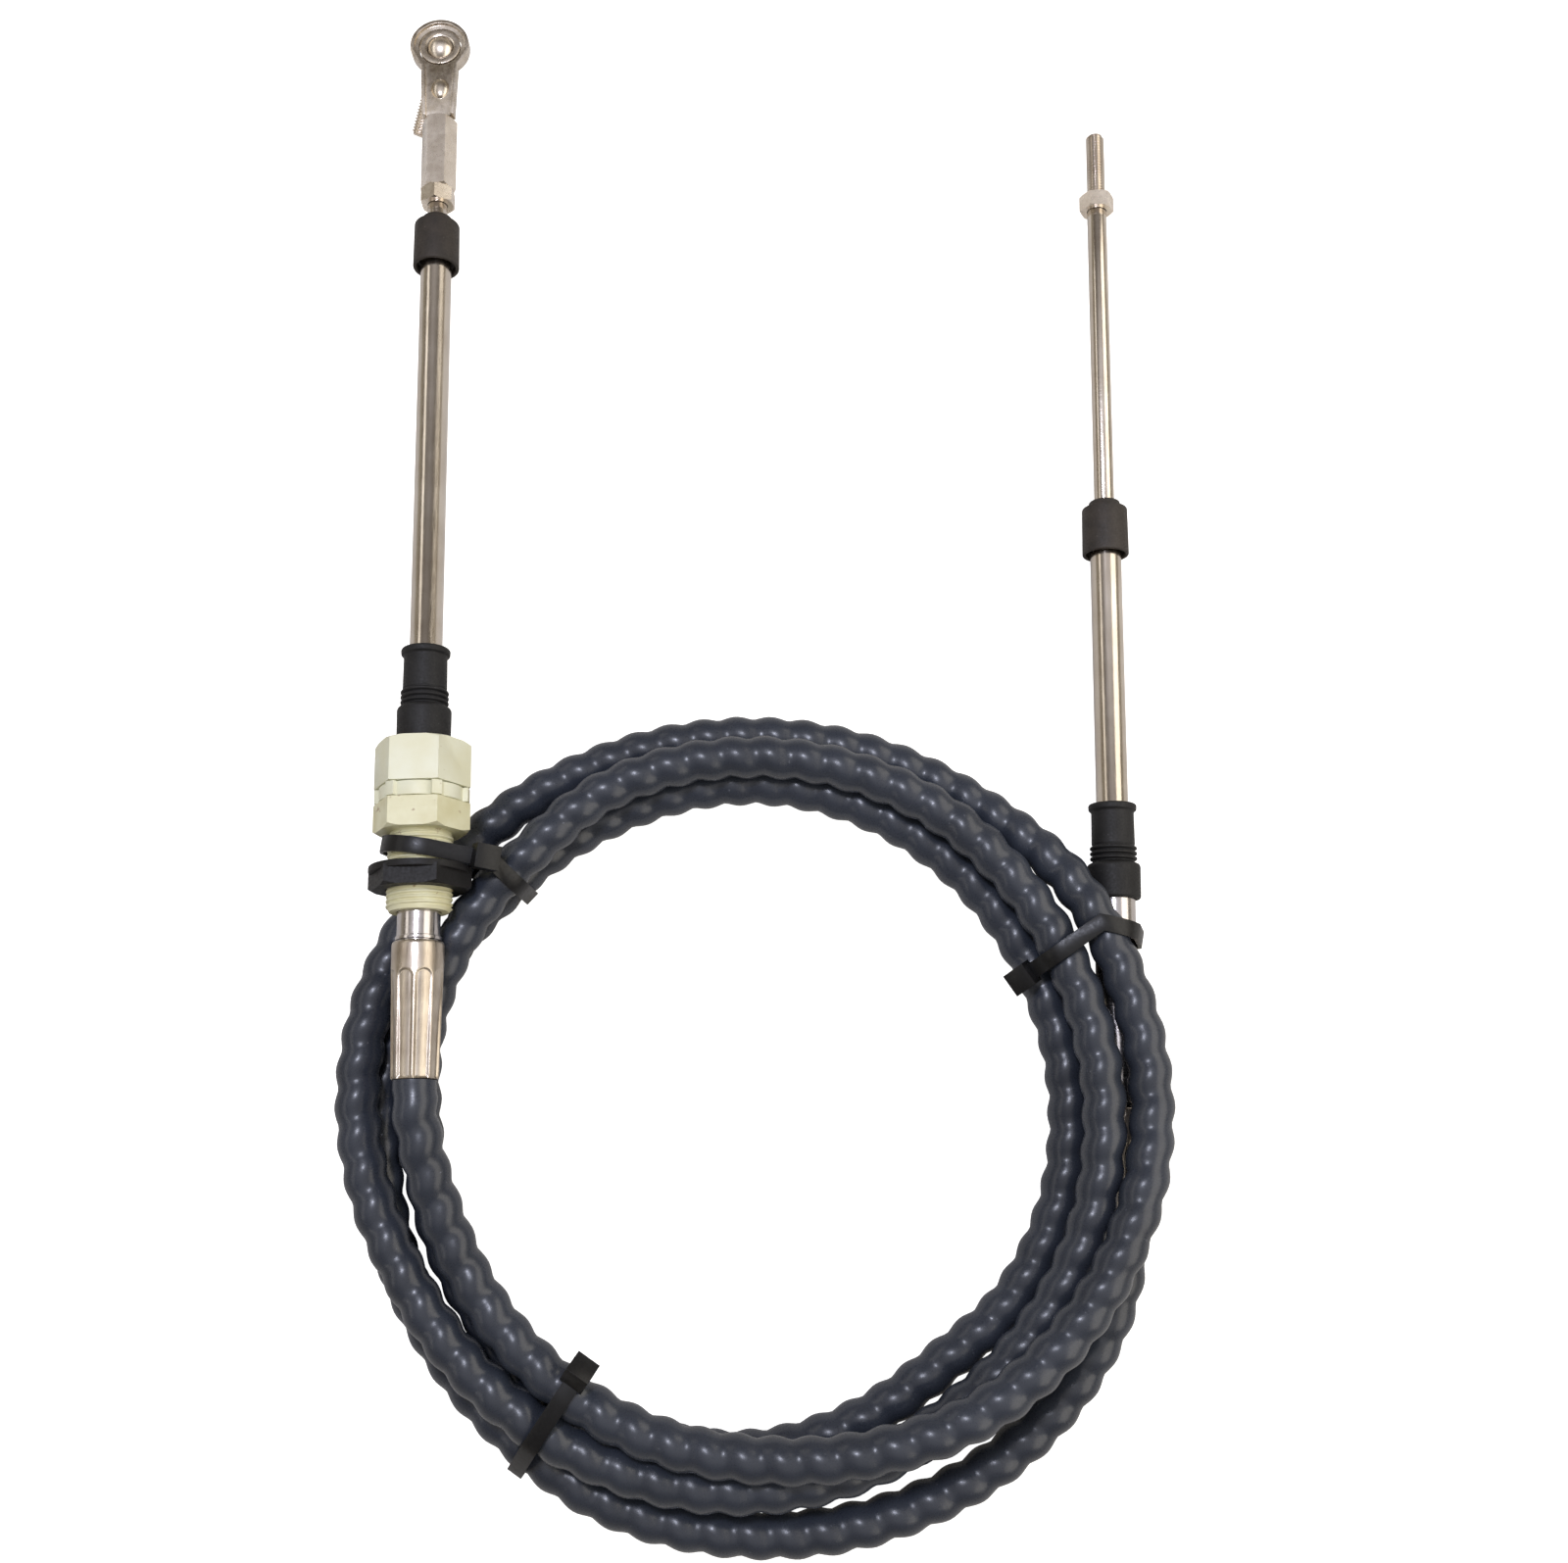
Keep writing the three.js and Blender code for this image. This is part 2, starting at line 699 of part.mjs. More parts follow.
function conduitPath() {
  const first = coilStations[0][0];
  const last = coilStations[coilStations.length - 1][0];
  const steps = Math.round((last - first) / coilPointSpacing);
  const points = [belowFerrule(leftEnd, 0), belowFerrule(leftEnd, conduitLeadIn)];
  for (let i = 0; i <= steps; i += 1) {
    points.push(coilPoint(first + ((last - first) * i) / steps));
  }
  points.push(belowFerrule(rightEnd, conduitLeadIn), belowFerrule(rightEnd, 0));
  return new THREE.CatmullRomCurve3(points);
}

function conduit() {
  const outline = new THREE.Shape();
  outline.absarc(0, 0, conduitRadius, 0, Math.PI * 2, false);
  const path = conduitPath();
  return new THREE.ExtrudeGeometry(outline, {
    curveSegments: conduitSides / 2,
    steps: Math.round(path.getLength() / conduitStep),
    extrudePath: path,
  });
}

// A cable tie lies in an upright plane through a spot, along a heading seen from above
function tiePlane(x, y, heading) {
  const across = new THREE.Vector3(Math.cos(heading * degrees), Math.sin(heading * degrees), 0);
  const up = new THREE.Vector3(0, 0, 1);
  return { spot: new THREE.Vector3(x, y, 0), across, up, normal: across.clone().cross(up) };
}

// What a round piece takes up in a tie's plane: an ellipse, wider where the piece runs aslant
function crossing(plane, point, direction, radius) {
  const along = Math.abs(direction.dot(plane.normal));
  const sideways = Math.abs(direction.dot(plane.across)) / along;
  const upwards = Math.abs(direction.z) / along;
  const offset = point.clone().sub(plane.spot);
  return {
    across: offset.dot(plane.across),
    height: offset.z,
    halfWidth: radius * Math.hypot(1, sideways) + (sideways * tieWidth) / 2,
    halfHeight: radius * Math.hypot(1, upwards) + (upwards * tieWidth) / 2,
  };
}

function conduitAt(plane, nearAngle) {
  let angle = nearAngle;
  let direction;
  for (let i = 0; i < 6; i += 1) {
    direction = coilPoint(angle + 0.5).sub(coilPoint(angle - 0.5));
    const off = coilPoint(angle).sub(plane.spot).dot(plane.normal);
    angle -= off / direction.dot(plane.normal);
  }
  return { point: coilPoint(angle), direction: direction.normalize() };
}

function conduitCrossing(plane, nearAngle) {
  const { point, direction } = conduitAt(plane, nearAngle);
  return crossing(plane, point, direction, conduitRadius);
}

function endCrossing(plane, end, radius) {
  const direction = belowFerrule(end, -1).sub(belowFerrule(end, 0));
  const start = belowFerrule(end, 0);
  const along = plane.spot.clone().sub(start).dot(plane.normal) / direction.dot(plane.normal);
  return crossing(plane, belowFerrule(end, -along), direction, radius);
}

function strapPoints(crossings, extra) {
  const points = [];
  for (const c of crossings) {
    for (let i = 0; i < strapSides; i += 1) {
      const angle = ((i * 360) / strapSides) * degrees;
      const x = c.across + (c.halfWidth + extra) * Math.cos(angle);
      const y = c.height + (c.halfHeight + extra) * Math.sin(angle);
      points.push(new THREE.Vector2(x, y));
    }
  }
  return points;
}

function turnsLeft(a, b, c) {
  return (b.x - a.x) * (c.y - a.y) - (b.y - a.y) * (c.x - a.x) > 0;
}

function halfHull(points) {
  const chain = [];
  for (const point of points) {
    while (chain.length > 1 && !turnsLeft(...chain.slice(-2), point)) chain.pop();
    chain.push(point);
  }
  return chain.slice(0, -1);
}

function hull(points) {
  const sorted = [...points].sort((a, b) => a.x - b.x || a.y - b.y);
  return [...halfHull(sorted), ...halfHull([...sorted].reverse())];
}

// An outline again, with a point wherever it crosses the line where the strap bends
function splitAt(points, across) {
  const split = [];
  points.forEach((point, i) => {
    const next = points[(i + 1) % points.length];
    split.push(point);
    if ((point.x - across) * (next.x - across) < 0) {
      split.push(point.clone().lerp(next, (across - point.x) / (next.x - point.x)));
    }
  });
  return split;
}

function outwardFrom(a, b) {
  return new THREE.Vector2(b.y - a.y, a.x - b.x).normalize();
}

// A closed band with the outline as its inner face, thick outwards and wide along Z
function band(outline, thickness, width) {
  const corners = [];
  const faces = [];
  const count = outline.length;
  outline.forEach((point, i) => {
    const before = outwardFrom(outline[(i + count - 1) % count], point);
    const after = outwardFrom(point, outline[(i + 1) % count]);
    const mitre = before.clone().add(after).divideScalar(1 + before.dot(after));
    const outer = point.clone().addScaledVector(mitre, thickness);
    corners.push(point.x, point.y, -width / 2, outer.x, outer.y, -width / 2);
    corners.push(outer.x, outer.y, width / 2, point.x, point.y, width / 2);
    const next = ((i + 1) % count) * 4;
    for (let side = 0; side < 4; side += 1) {
      const here = i * 4 + side;
      const turn = i * 4 + ((side + 1) % 4);
      const there = next + side;
      const thereTurn = next + ((side + 1) % 4);
      faces.push(here, there, turn, turn, there, thereTurn);
    }
  });
  const geometry = new THREE.BufferGeometry();
  geometry.setAttribute("position", new THREE.Float32BufferAttribute(corners, 3));
  geometry.setIndex(faces);
  return geometry;
}

// The part of a strap beyond the bend turns towards +Z of its own frame, with a mitred fold
function bend(geometry, across, angle) {
  const position = geometry.attributes.position;
  const mitre = Math.tan((angle / 2) * degrees);
  for (let i = 0; i < position.count; i += 1) {
    const beyond = position.getX(i) - across;
    const side = position.getZ(i);
    let turn = 0;
    let along = Math.min(beyond, -side * mitre);
    if (Math.abs(beyond) < tieThickness) {
      turn = (angle / 2) * degrees;
      along = beyond;
    } else if (beyond > 0) {
      turn = angle * degrees;
      along = Math.max(beyond, side * mitre);
    }
    const stretch = 1 / Math.cos(turn === angle * degrees ? 0 : turn);
    position.setX(i, across + along * Math.cos(turn) - side * stretch * Math.sin(turn));
    position.setZ(i, along * Math.sin(turn) + side * stretch * Math.cos(turn));
  }
}

function cableTie(name, plane, crossings, headPlace, bendStart = 0, bendAngle = 0) {
  const outline = splitAt(hull(strapPoints(crossings, tieGap)), bendStart);
  const strap = band(outline, tieThickness, tieWidth);
  if (bendAngle > 0) bend(strap, bendStart, bendAngle);
  const head = new THREE.BoxGeometry(tieHeadLength, tieHeadHeight, tieHeadWidth);
  head.rotateZ(headPlace.angle * degrees);
  head.translate(headPlace.across, headPlace.height, 0);
  const tie = mesh(name, geometryOf(solid(strap).add(solid(head))), tiePlastic);
  tie.setRotationFromMatrix(new THREE.Matrix4().makeBasis(plane.across, plane.up, plane.normal));
  tie.position.copy(plane.spot);
  return tie;
}

// The plane of a strap's part beyond its bend, and what a piece takes up there along the strap
function bentPlane(plane, heading, bendStart, bendAngle) {
  const bendAt = plane.spot.clone().addScaledVector(plane.across, bendStart);
  return tiePlane(bendAt.x, bendAt.y, heading - bendAngle);
}

function beyondBend(piece, bendStart) {
  return { ...piece, across: piece.across + bendStart };
}

// A tie's head on the outside of one of the pieces that it holds
function headOn(held, toward) {
  const out = held.halfWidth + tieGap + tieHeadHeight / 2;
  return {
    across: held.across + out * Math.cos(toward * degrees),
    height: held.height + out * Math.sin(toward * degrees),
    angle: toward - 90,
  };
}

// A tie's head on the upper run of its strap
function headOver(crossings, across) {
  const outline = hull(strapPoints(crossings, tieGap));
  const i = outline.findIndex((point, k) => point.x > across && outline[(k + 1) % outline.length].x <= across);
  const from = outline[(i + 1) % outline.length];
  const to = outline[i];
  const slope = Math.atan2(to.y - from.y, to.x - from.x);
  const height = from.y + (across - from.x) * Math.tan(slope);
  return {
    across: across - (tieHeadHeight / 2) * Math.sin(slope),
    height: height + (tieHeadHeight / 2) * Math.cos(slope),
    angle: slope / degrees,
  };
}

function makeLowerLeftTie() {
  const { angle, headSide } = lowerLeftTie;
  const plane = tiePlane(0, 0, angle);
  const held = [0, 1, 2, 3].map((lap) => conduitCrossing(plane, angle + 360 * lap));
  return cableTie("lower_left_cable_tie", plane, held, headOn(held[0], headSide));
}

// The second tie crosses the strands squarely, and bends on top of the last one to cross the hub
function makeRightTie() {
  const { angle, x, y, heading, bendStart, bend: bendAngle, headSide } = rightTie;
  const plane = tiePlane(x, y, heading);
  const bent = bentPlane(plane, heading, bendStart, bendAngle);
  const held = [1, 2, 3].map((lap) => conduitCrossing(plane, angle + 360 * lap));
  const head = headOn(held[2], headSide);
  held.push(beyondBend(conduitCrossing(bent, angle + 360), bendStart));
  held.push(beyondBend(endCrossing(bent, rightEnd, hubRadius), bendStart));
  return cableTie("right_cable_tie", plane, held, head, bendStart, bendAngle);
}

// The third tie holds the bulkhead thread to the coil, and bends to cross the conduit squarely
function makeUpperLeftTie() {
  const { angle, swing, bendStart, bend: bendAngle, headAcross } = upperLeftTie;
  const spot = belowFerrule(leftEnd, -(locknutTop + bulkheadHexStart) / 2);
  const heading = leftExit.lean - swing;
  const plane = tiePlane(spot.x, spot.y, heading);
  const bent = bentPlane(plane, heading, bendStart, bendAngle);
  const held = [2, 3].map((lap) => beyondBend(conduitCrossing(bent, angle + 360 * lap), bendStart));
  held.push(conduitCrossing(plane, angle + 360));
  held.push(endCrossing(plane, leftEnd, bulkheadThreadRadius));
  const head = headOver(held, headAcross);
  return cableTie("upper_left_cable_tie", plane, held, head, bendStart, bendAngle);
}

const cable = new THREE.Group();
cable.add(mesh("conduit", conduit(), conduitCover));
cable.add(leftEnd);
cable.add(rightEnd);
cable.add(makeLowerLeftTie());
cable.add(makeRightTie());
cable.add(makeUpperLeftTie());

// The origin is on the floor under the middle of the whole part
const lean = leftExit.lean * degrees;
const slope = leftExit.slope * degrees;
const topReach = leftExit.y + eyeCentre * Math.cos(lean) * Math.cos(slope) + eyeRadius;
cable.position.y = (coilReach - topReach) / 2;

export default cable;
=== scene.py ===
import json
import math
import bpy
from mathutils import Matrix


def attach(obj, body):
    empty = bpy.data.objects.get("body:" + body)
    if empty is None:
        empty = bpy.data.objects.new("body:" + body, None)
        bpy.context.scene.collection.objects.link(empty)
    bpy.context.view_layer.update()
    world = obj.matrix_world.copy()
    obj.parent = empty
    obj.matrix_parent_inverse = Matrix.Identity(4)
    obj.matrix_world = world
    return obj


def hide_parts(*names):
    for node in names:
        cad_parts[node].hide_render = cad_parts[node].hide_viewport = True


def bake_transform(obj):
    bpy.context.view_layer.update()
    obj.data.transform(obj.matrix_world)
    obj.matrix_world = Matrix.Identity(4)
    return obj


bl_info = {
    "name": "Boat steering cable",
    "version": (1, 0, 0),
    "blender": (4, 5, 0),
    "location": "View3D > Sidebar > Cable",
    "description": "Builds the looks of a coiled boat steering cable round its frame",
    "category": "Object",
}

import bpy
import numpy as np
from bpy.props import FloatProperty, FloatVectorProperty, PointerProperty
from mathutils import Matrix, Vector

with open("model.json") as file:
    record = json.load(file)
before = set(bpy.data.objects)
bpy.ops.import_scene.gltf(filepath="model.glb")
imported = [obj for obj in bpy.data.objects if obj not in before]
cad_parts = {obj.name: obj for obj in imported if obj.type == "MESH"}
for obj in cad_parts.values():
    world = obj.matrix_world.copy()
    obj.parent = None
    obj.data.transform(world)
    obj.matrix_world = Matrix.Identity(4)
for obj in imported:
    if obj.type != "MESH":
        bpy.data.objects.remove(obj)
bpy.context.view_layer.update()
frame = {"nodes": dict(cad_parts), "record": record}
BODY_OF = {n: body for body, nodes in frame["record"]["behaviour"]["bodies"].items() for n in nodes}
MM = 0.001

# How far the coil's middle is from the frame's along Y, in millimetres
COIL_SHIFT = -118.549
# Where the conduit leaves each ferrule: place in millimetres, lean and slope in degrees
LEFT_EXIT = ((-96, 9, 34.2), 1.7, 2.6)
RIGHT_EXIT = ((108.9, -37.8, 8.5), -0.9, 0)

# Positions along an end, in millimetres from the conduit's cut face
COLLAR_START = 31.3
FERRULE_TOP = 39.6
FITTING = 48.4
LOCKNUT = 54.8
LOCKNUT_FLANGE = 59.6
LOCKNUT_TOP = 61.8
HEX_START = 72
HEX_TOP = 80.8
CAP_NUT = 85.7
LEFT_BOOT = 99.4
RIGHT_BOOT = 102
LEFT_CAP = 259.9
RIGHT_CAP = 213.4
LEFT_NUT = 283
COUPLING = 288.55
COUPLING_TOP = 314.55
EYE = 341.75
RIGHT_NUT = 335
RIGHT_TIP = 363

# Lengths along an end, in millimetres
LEAD = 5
HUB_DEPTH = 18
BOOT_LENGTH = 29.9
BOOT_LOWER = 11.2
RING_PITCH = 1.6
SWIVEL_HEIGHT = 7
SPIGOT_LENGTH = 14.4
CAP_BODY = 15.6
CAP_LENGTH = 18
CAP_SEAT = 12.5
CAP_RECESS = 2.6
LEFT_ROD_INSIDE = 150
RIGHT_ROD_INSIDE = 30
ROD_IN_COUPLING = 11
NUT_HEIGHT = 5.4
STUD_LENGTH = 28
M6_PITCH = 1
FITTING_PITCH = 1.5

# Radii and widths across flats, in millimetres
CORE_BORE = 2.2
FERRULE_MOUTH = 6.5
SLEEVE_RADIUS = 7.35
COLLAR_RADIUS = 7.55
HUB_RADIUS = 6.25
SOCKET_RADIUS = 6.2
BALL_RADIUS = 5.9
TUBE_RADIUS = 4.9
CAP_RADIUS = 7.35
ROD_RADIUS = 3.175
M6_CREST = 3
M6_ROOT = 2.45
M6_BORE = 3.25
NUT_FLATS = 10
FITTING_FLATS = 25
FITTING_THREAD = 9.6
LOCKNUT_FLATS = 26.4
FLANGE_RADIUS = 14.9
SPIGOT_RADIUS = 9.2
RING_RADIUS = 12.5
EYE_RADIUS = 9.75
EYE_BORE = 7.05
STUD_BALL = 5
KEY_FLATS = 4

# Clearance between pieces, and the chamfers of the large and the small hexagons, in millimetres
GAP = 0.3
HEX_CHAMFER = 1.5
FACE_CHAMFER = 0.3
NUT_CHAMFER = 0.7
COUPLING_CHAMFER = 0.8

# The crimp of the ferrules: its depth in millimetres
FLUTES = 8
FIRST_FLUTE = math.radians(-17)
FLUTE_DEPTH = 0.85

# The sweep of the conduit: its steps, its plain ends in metres, and the armour's waves
SWEEP_SIDES = 28
SWEEP_STEPS_PER_TURN = 8
COIL_SAMPLES = 206
END_FADE = 0.006
WAVE_POWER = 0.65
WAVE_OVAL = 0.12

# Each area light: place and size in metres, share of the key light's power, and colour
LIGHTS = (
    ("key_light", (0.62, 0.02, 0.5), (1.5, 0.5), 1, (1, 0.94, 0.84)),
    ("fill_light", (-0.7, 0.1, 0.5), (1.5, 0.2), 0.25, (1, 0.96, 0.9)),
    ("overhead_light", (-0.12, 0.12, 0.8), (0.13, 0.13), 0.55, (0.8, 0.83, 1)),
)
CAMERA_PLACE = (0.0091, (COIL_SHIFT - 5.1) * MM, 0.51)
CAMERA_TILT = math.radians(12)

# Stations of the coil: angle round it in degrees, radius and height of the conduit's centre
STATIONS = np.array([
    (182, 94.9, 33.6), (188, 93.7, 31.4), (196, 92.6, 28), (209, 92.2, 23.8), (232, 92.2, 22.4),
    (250, 92.6, 24), (270, 93.6, 27), (290, 97.4, 29.9), (308, 102.8, 31), (325, 107.4, 30),
    (340, 111.2, 29.3), (350, 113.8, 27), (363, 116.2, 22.4), (380, 116.8, 21.9),
    (390, 117.6, 20.6), (398, 118, 16.6), (408, 117, 10.4), (420, 116.4, 6.7), (450, 116, 6.6),
    (475, 117.4, 6.7), (490, 119.2, 7.7), (500, 119.6, 8.1), (514, 118.8, 12.5),
    (525, 117.6, 17.3), (538, 115.8, 19), (551, 112.7, 19.9), (563, 109.4, 20.3),
    (573, 107.8, 20.4), (592, 105.6, 20.2), (607, 104.8, 17.9), (630, 103.6, 17.4),
    (650, 102.4, 16.5), (668, 101.2, 16.5), (685, 101.4, 17.6), (705, 102.2, 20.4),
    (720, 102.3, 21.5), (740, 103, 20.6), (760, 104.6, 18.6), (780, 106.4, 18.3),
    (810, 107, 18.6), (835, 106.2, 19.4), (850, 102.6, 21.1), (860, 102.2, 21.1),
    (870, 102, 19.9), (880, 101.4, 18), (889, 100.4, 16.4), (900, 99.2, 10.6), (910, 98.8, 6.7),
    (933, 97.6, 6.9), (956, 97, 8.1), (972, 96.8, 6.8), (990, 95.6, 6.6), (1010, 92.2, 6.6),
    (1028, 89.8, 6.6), (1045, 92.6, 6.6), (1065, 94.2, 6.6), (1080, 94.6, 6.9),
    (1107, 95.4, 8.1), (1130, 97.6, 6.8), (1150, 99.6, 6.6), (1170, 101, 6.6), (1195, 101, 6.8),
    (1212, 101.6, 7.9), (1221, 102.7, 8), (1230, 104.9, 7), (1240, 107.9, 6.6),
    (1250, 110.4, 6.6), (1260, 111.8, 6.6), (1280, 112.6, 6.6), (1297, 112.5, 7),
    (1316, 113.6, 8.1), (1328, 116, 6.9), (1350, 117.4, 6.6), (1370, 119.4, 6.6),
    (1387, 120.8, 6.7), (1400, 120.7, 7.2), (1411, 119.3, 8.2),
])


class ConduitSettings(bpy.types.PropertyGroup):
    """Sizes of the plastic-covered conduit."""

    diameter: FloatProperty(
        name="Diameter", description="Mean diameter over the cover",
        default=0.0124, min=0.01, max=0.0126, unit="LENGTH", precision=4)
    pitch: FloatProperty(
        name="Armour pitch", description="Length of one turn of the armour that shows in the cover",
        default=0.0105, min=0.006, max=0.02, unit="LENGTH", precision=4)
    bulge: FloatProperty(
        name="Bulge", description="How far the armour stands out under the cover",
        default=0.00055, min=0, max=0.0008, unit="LENGTH", precision=5)


class FinishSettings(bpy.types.PropertyGroup):
    """Colours of the cable's plastics, rubber and steel."""

    cover: FloatVectorProperty(
        name="Conduit cover", description="Colour of the conduit's cover",
        subtype="COLOR", default=(0.03, 0.036, 0.05), min=0, max=1)
    ivory: FloatVectorProperty(
        name="Bulkhead fitting", description="Colour of the moulded fitting",
        subtype="COLOR", default=(0.74, 0.75, 0.59), min=0, max=1)
    steel: FloatVectorProperty(
        name="Stainless steel", description="Colour of the rods, tubes and nuts",
        subtype="COLOR", default=(0.60, 0.55, 0.49), min=0, max=1)
    rubber: FloatVectorProperty(
        name="Rubber", description="Colour of the boots",
        subtype="COLOR", default=(0.009, 0.009, 0.0095), min=0, max=1)


class StageSettings(bpy.types.PropertyGroup):
    """The floor and the lights."""

    key_power: FloatProperty(
        name="Key light", description="Power of the large soft light",
        default=5, min=0, max=100, unit="POWER")
    surround: FloatProperty(
        name="Surround", description="Strength of the even light from all sides",
        default=1, min=0, max=4)


def end_matrix(exit_place):
    """The frame of one end: its own Y axis runs outwards, in millimetres."""
    (x, y, z), lean, slope = exit_place
    turn = Matrix.Rotation(math.radians(lean), 4, "Z") @ Matrix.Rotation(math.radians(-slope), 4, "X")
    place = Matrix.Translation(Vector((x, y + COIL_SHIFT, z)) * MM)
    return place @ turn @ Matrix.Scale(MM, 4)


LEFT = end_matrix(LEFT_EXIT)
RIGHT = end_matrix(RIGHT_EXIT)
ENDS = (("left", LEFT, LEFT_BOOT, LEFT_CAP), ("right", RIGHT, RIGHT_BOOT, RIGHT_CAP))


# Shapes, in millimetres about the local Y axis

def only(obj):
    """Selects one object and nothing else."""
    bpy.ops.object.select_all(action="DESELECT")
    obj.select_set(True)
    bpy.context.view_layer.objects.active = obj


def close_up(merge=1e-5):
    """Merges doubles and turns the faces outwards, in edit mode, and leaves it."""
    bpy.ops.mesh.select_all(action="SELECT")
    bpy.ops.mesh.remove_doubles(threshold=merge)
    bpy.ops.mesh.normals_make_consistent(inside=False)
    bpy.ops.object.mode_set(mode="OBJECT")


def turned(name, profile, sides=64):
    """A closed outline of (radius, position) corners, spun about the local Y axis."""
    bpy.ops.object.select_all(action="DESELECT")
    bpy.ops.mesh.primitive_circle_add(vertices=len(profile), radius=1)
    obj = bpy.context.object
    obj.name = name
    for vertex, (radius, along) in zip(obj.data.vertices, profile):
        vertex.co = (radius, along, 0)
    bpy.ops.object.mode_set(mode="EDIT")
    bpy.ops.mesh.select_all(action="SELECT")
    bpy.ops.mesh.spin(steps=sides, angle=math.tau, center=(0, 0, 0), axis=(0, 1, 0))
    close_up()
    return obj


def eased(profile, radius, steps=3):
    """The outline with each corner rounded, as far as its sides allow."""
    out = []
    for i, corner in enumerate(profile):
        p = Vector(corner)
        a = Vector(profile[i - 1]) - p
        b = Vector(profile[(i + 1) % len(profile)]) - p
        reach = min(radius, 0.45 * a.length, 0.45 * b.length)
        if p.x < 1e-6 or a.angle(b, 0) > 3.0 or reach < 0.02:
            out.append(tuple(p))
            continue
        start, end = p + a.normalized() * reach, p + b.normalized() * reach
        for k in range(steps + 1):
            t = k / steps
            out.append(tuple(start * (1 - t) ** 2 + p * 2 * t * (1 - t) + end * t ** 2))
    return out


def arc(radius, centre, start, end, count=9):
    """Points of an arc whose centre is on the axis, between two angles in radians."""
    angles = np.linspace(start, end, count)
    return [(radius * math.cos(a), centre + radius * math.sin(a)) for a in angles]


def stepped(start, end, step):
    """Points from one corner towards another, a step apart, without the last."""
    a, b = Vector(start), Vector(end)
    count = max(1, round((b - a).length / step))
    return [tuple(a.lerp(b, k / count)) for k in range(count)]


def relief(obj, reshape):
    """Moves each point in or out: reshape(radius, position, angle) gives its new radius."""
    co = np.empty(len(obj.data.vertices) * 3)
    obj.data.vertices.foreach_get("co", co)
    co = co.reshape(-1, 3)
    radius = np.hypot(co[:, 0], co[:, 2])
    angle = np.arctan2(co[:, 0], co[:, 2])
    new = reshape(radius, co[:, 1], angle)
    ratio = np.where(radius > 1e-6, new / np.maximum(radius, 1e-6), 1)
    co[:, 0] *= ratio
    co[:, 2] *= ratio
    obj.data.vertices.foreach_set("co", co.ravel())
    obj.data.update()


def smooth_step(value):
    """Rises from 0 to 1 with no kink at either end."""
    value = np.clip(value, 0, 1)
    return value * value * (3 - 2 * value)


def with_modifier(obj, kind, **values):
    """Gives an object one modifier and applies it."""
    only(obj)
    modifier = obj.modifiers.new(kind.title(), kind)
    for key, value in values.items():
        setattr(modifier, key, value)
    bpy.ops.object.modifier_apply(modifier=modifier.name)


def combined(obj, other, operation):
    """Joins, cuts or intersects with another piece, which is used up."""
    with_modifier(obj, "BOOLEAN", operation=operation, object=other, solver="EXACT")
    bpy.data.objects.remove(other)
    return obj


def cylinder(name, radius, start, end, sides=64):
    """A solid bar about the local Y axis."""
    bpy.ops.object.select_all(action="DESELECT")
    bpy.ops.mesh.primitive_cylinder_add(
        vertices=sides, radius=radius, depth=end - start,
        location=(0, (start + end) / 2, 0), rotation=(math.pi / 2, math.pi / 6, 0))
    obj = bpy.context.object
    obj.name = name
    bpy.ops.object.transform_apply(location=True, rotation=True, scale=True)
    return obj


def corner_radius(across):
    """How far a hexagon's corners are from its middle, from its width across flats."""
    return across / 2 / math.cos(math.pi / 6)


def hexagon(name, across, start, end, low_chamfer, high_chamfer, bore):
    """A hexagonal prism with its corners turned down at the ends, and a bore unless that is 0."""
    corner = corner_radius(across)
    slope = 0.58
    obj = cylinder(name, corner, start, end, 6)
    turned_down = turned("chamfer", [
        (0, start - 0.01), (corner - low_chamfer, start - 0.01),
        (corner + 0.02, start + slope * low_chamfer), (corner + 0.02, end - slope * high_chamfer),
        (corner - high_chamfer, end + 0.01), (0, end + 0.01),
    ], 96)
    combined(obj, turned_down, "INTERSECT")
    if bore:
        combined(obj, cylinder("bore", bore, start - 1, end + 1), "DIFFERENCE")
    return obj


def settle(obj, place, nodes, look, bevel=0.0, sharp=35):
    """Bevels a piece, puts it where its CAD node is and lets it stand for that node."""
    if bevel:
        with_modifier(
            obj, "BEVEL", width=bevel, segments=2, limit_method="ANGLE",
            angle_limit=math.radians(30), miter_outer="MITER_ARC")
    only(obj)
    obj.matrix_world = place
    bpy.ops.object.transform_apply(location=True, rotation=True, scale=True)
    bpy.ops.object.shade_smooth_by_angle(angle=math.radians(sharp))
    obj.data.materials.clear()
    obj.data.materials.append(look)
    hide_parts(*nodes)
    return obj


def riding(obj, place, nodes, look, bevel=0.0, sharp=35):
    """A settled piece that moves with its CAD node's body."""
    settle(obj, place, nodes, look, bevel, sharp)
    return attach(obj, BODY_OF[nodes[0]])


# Materials

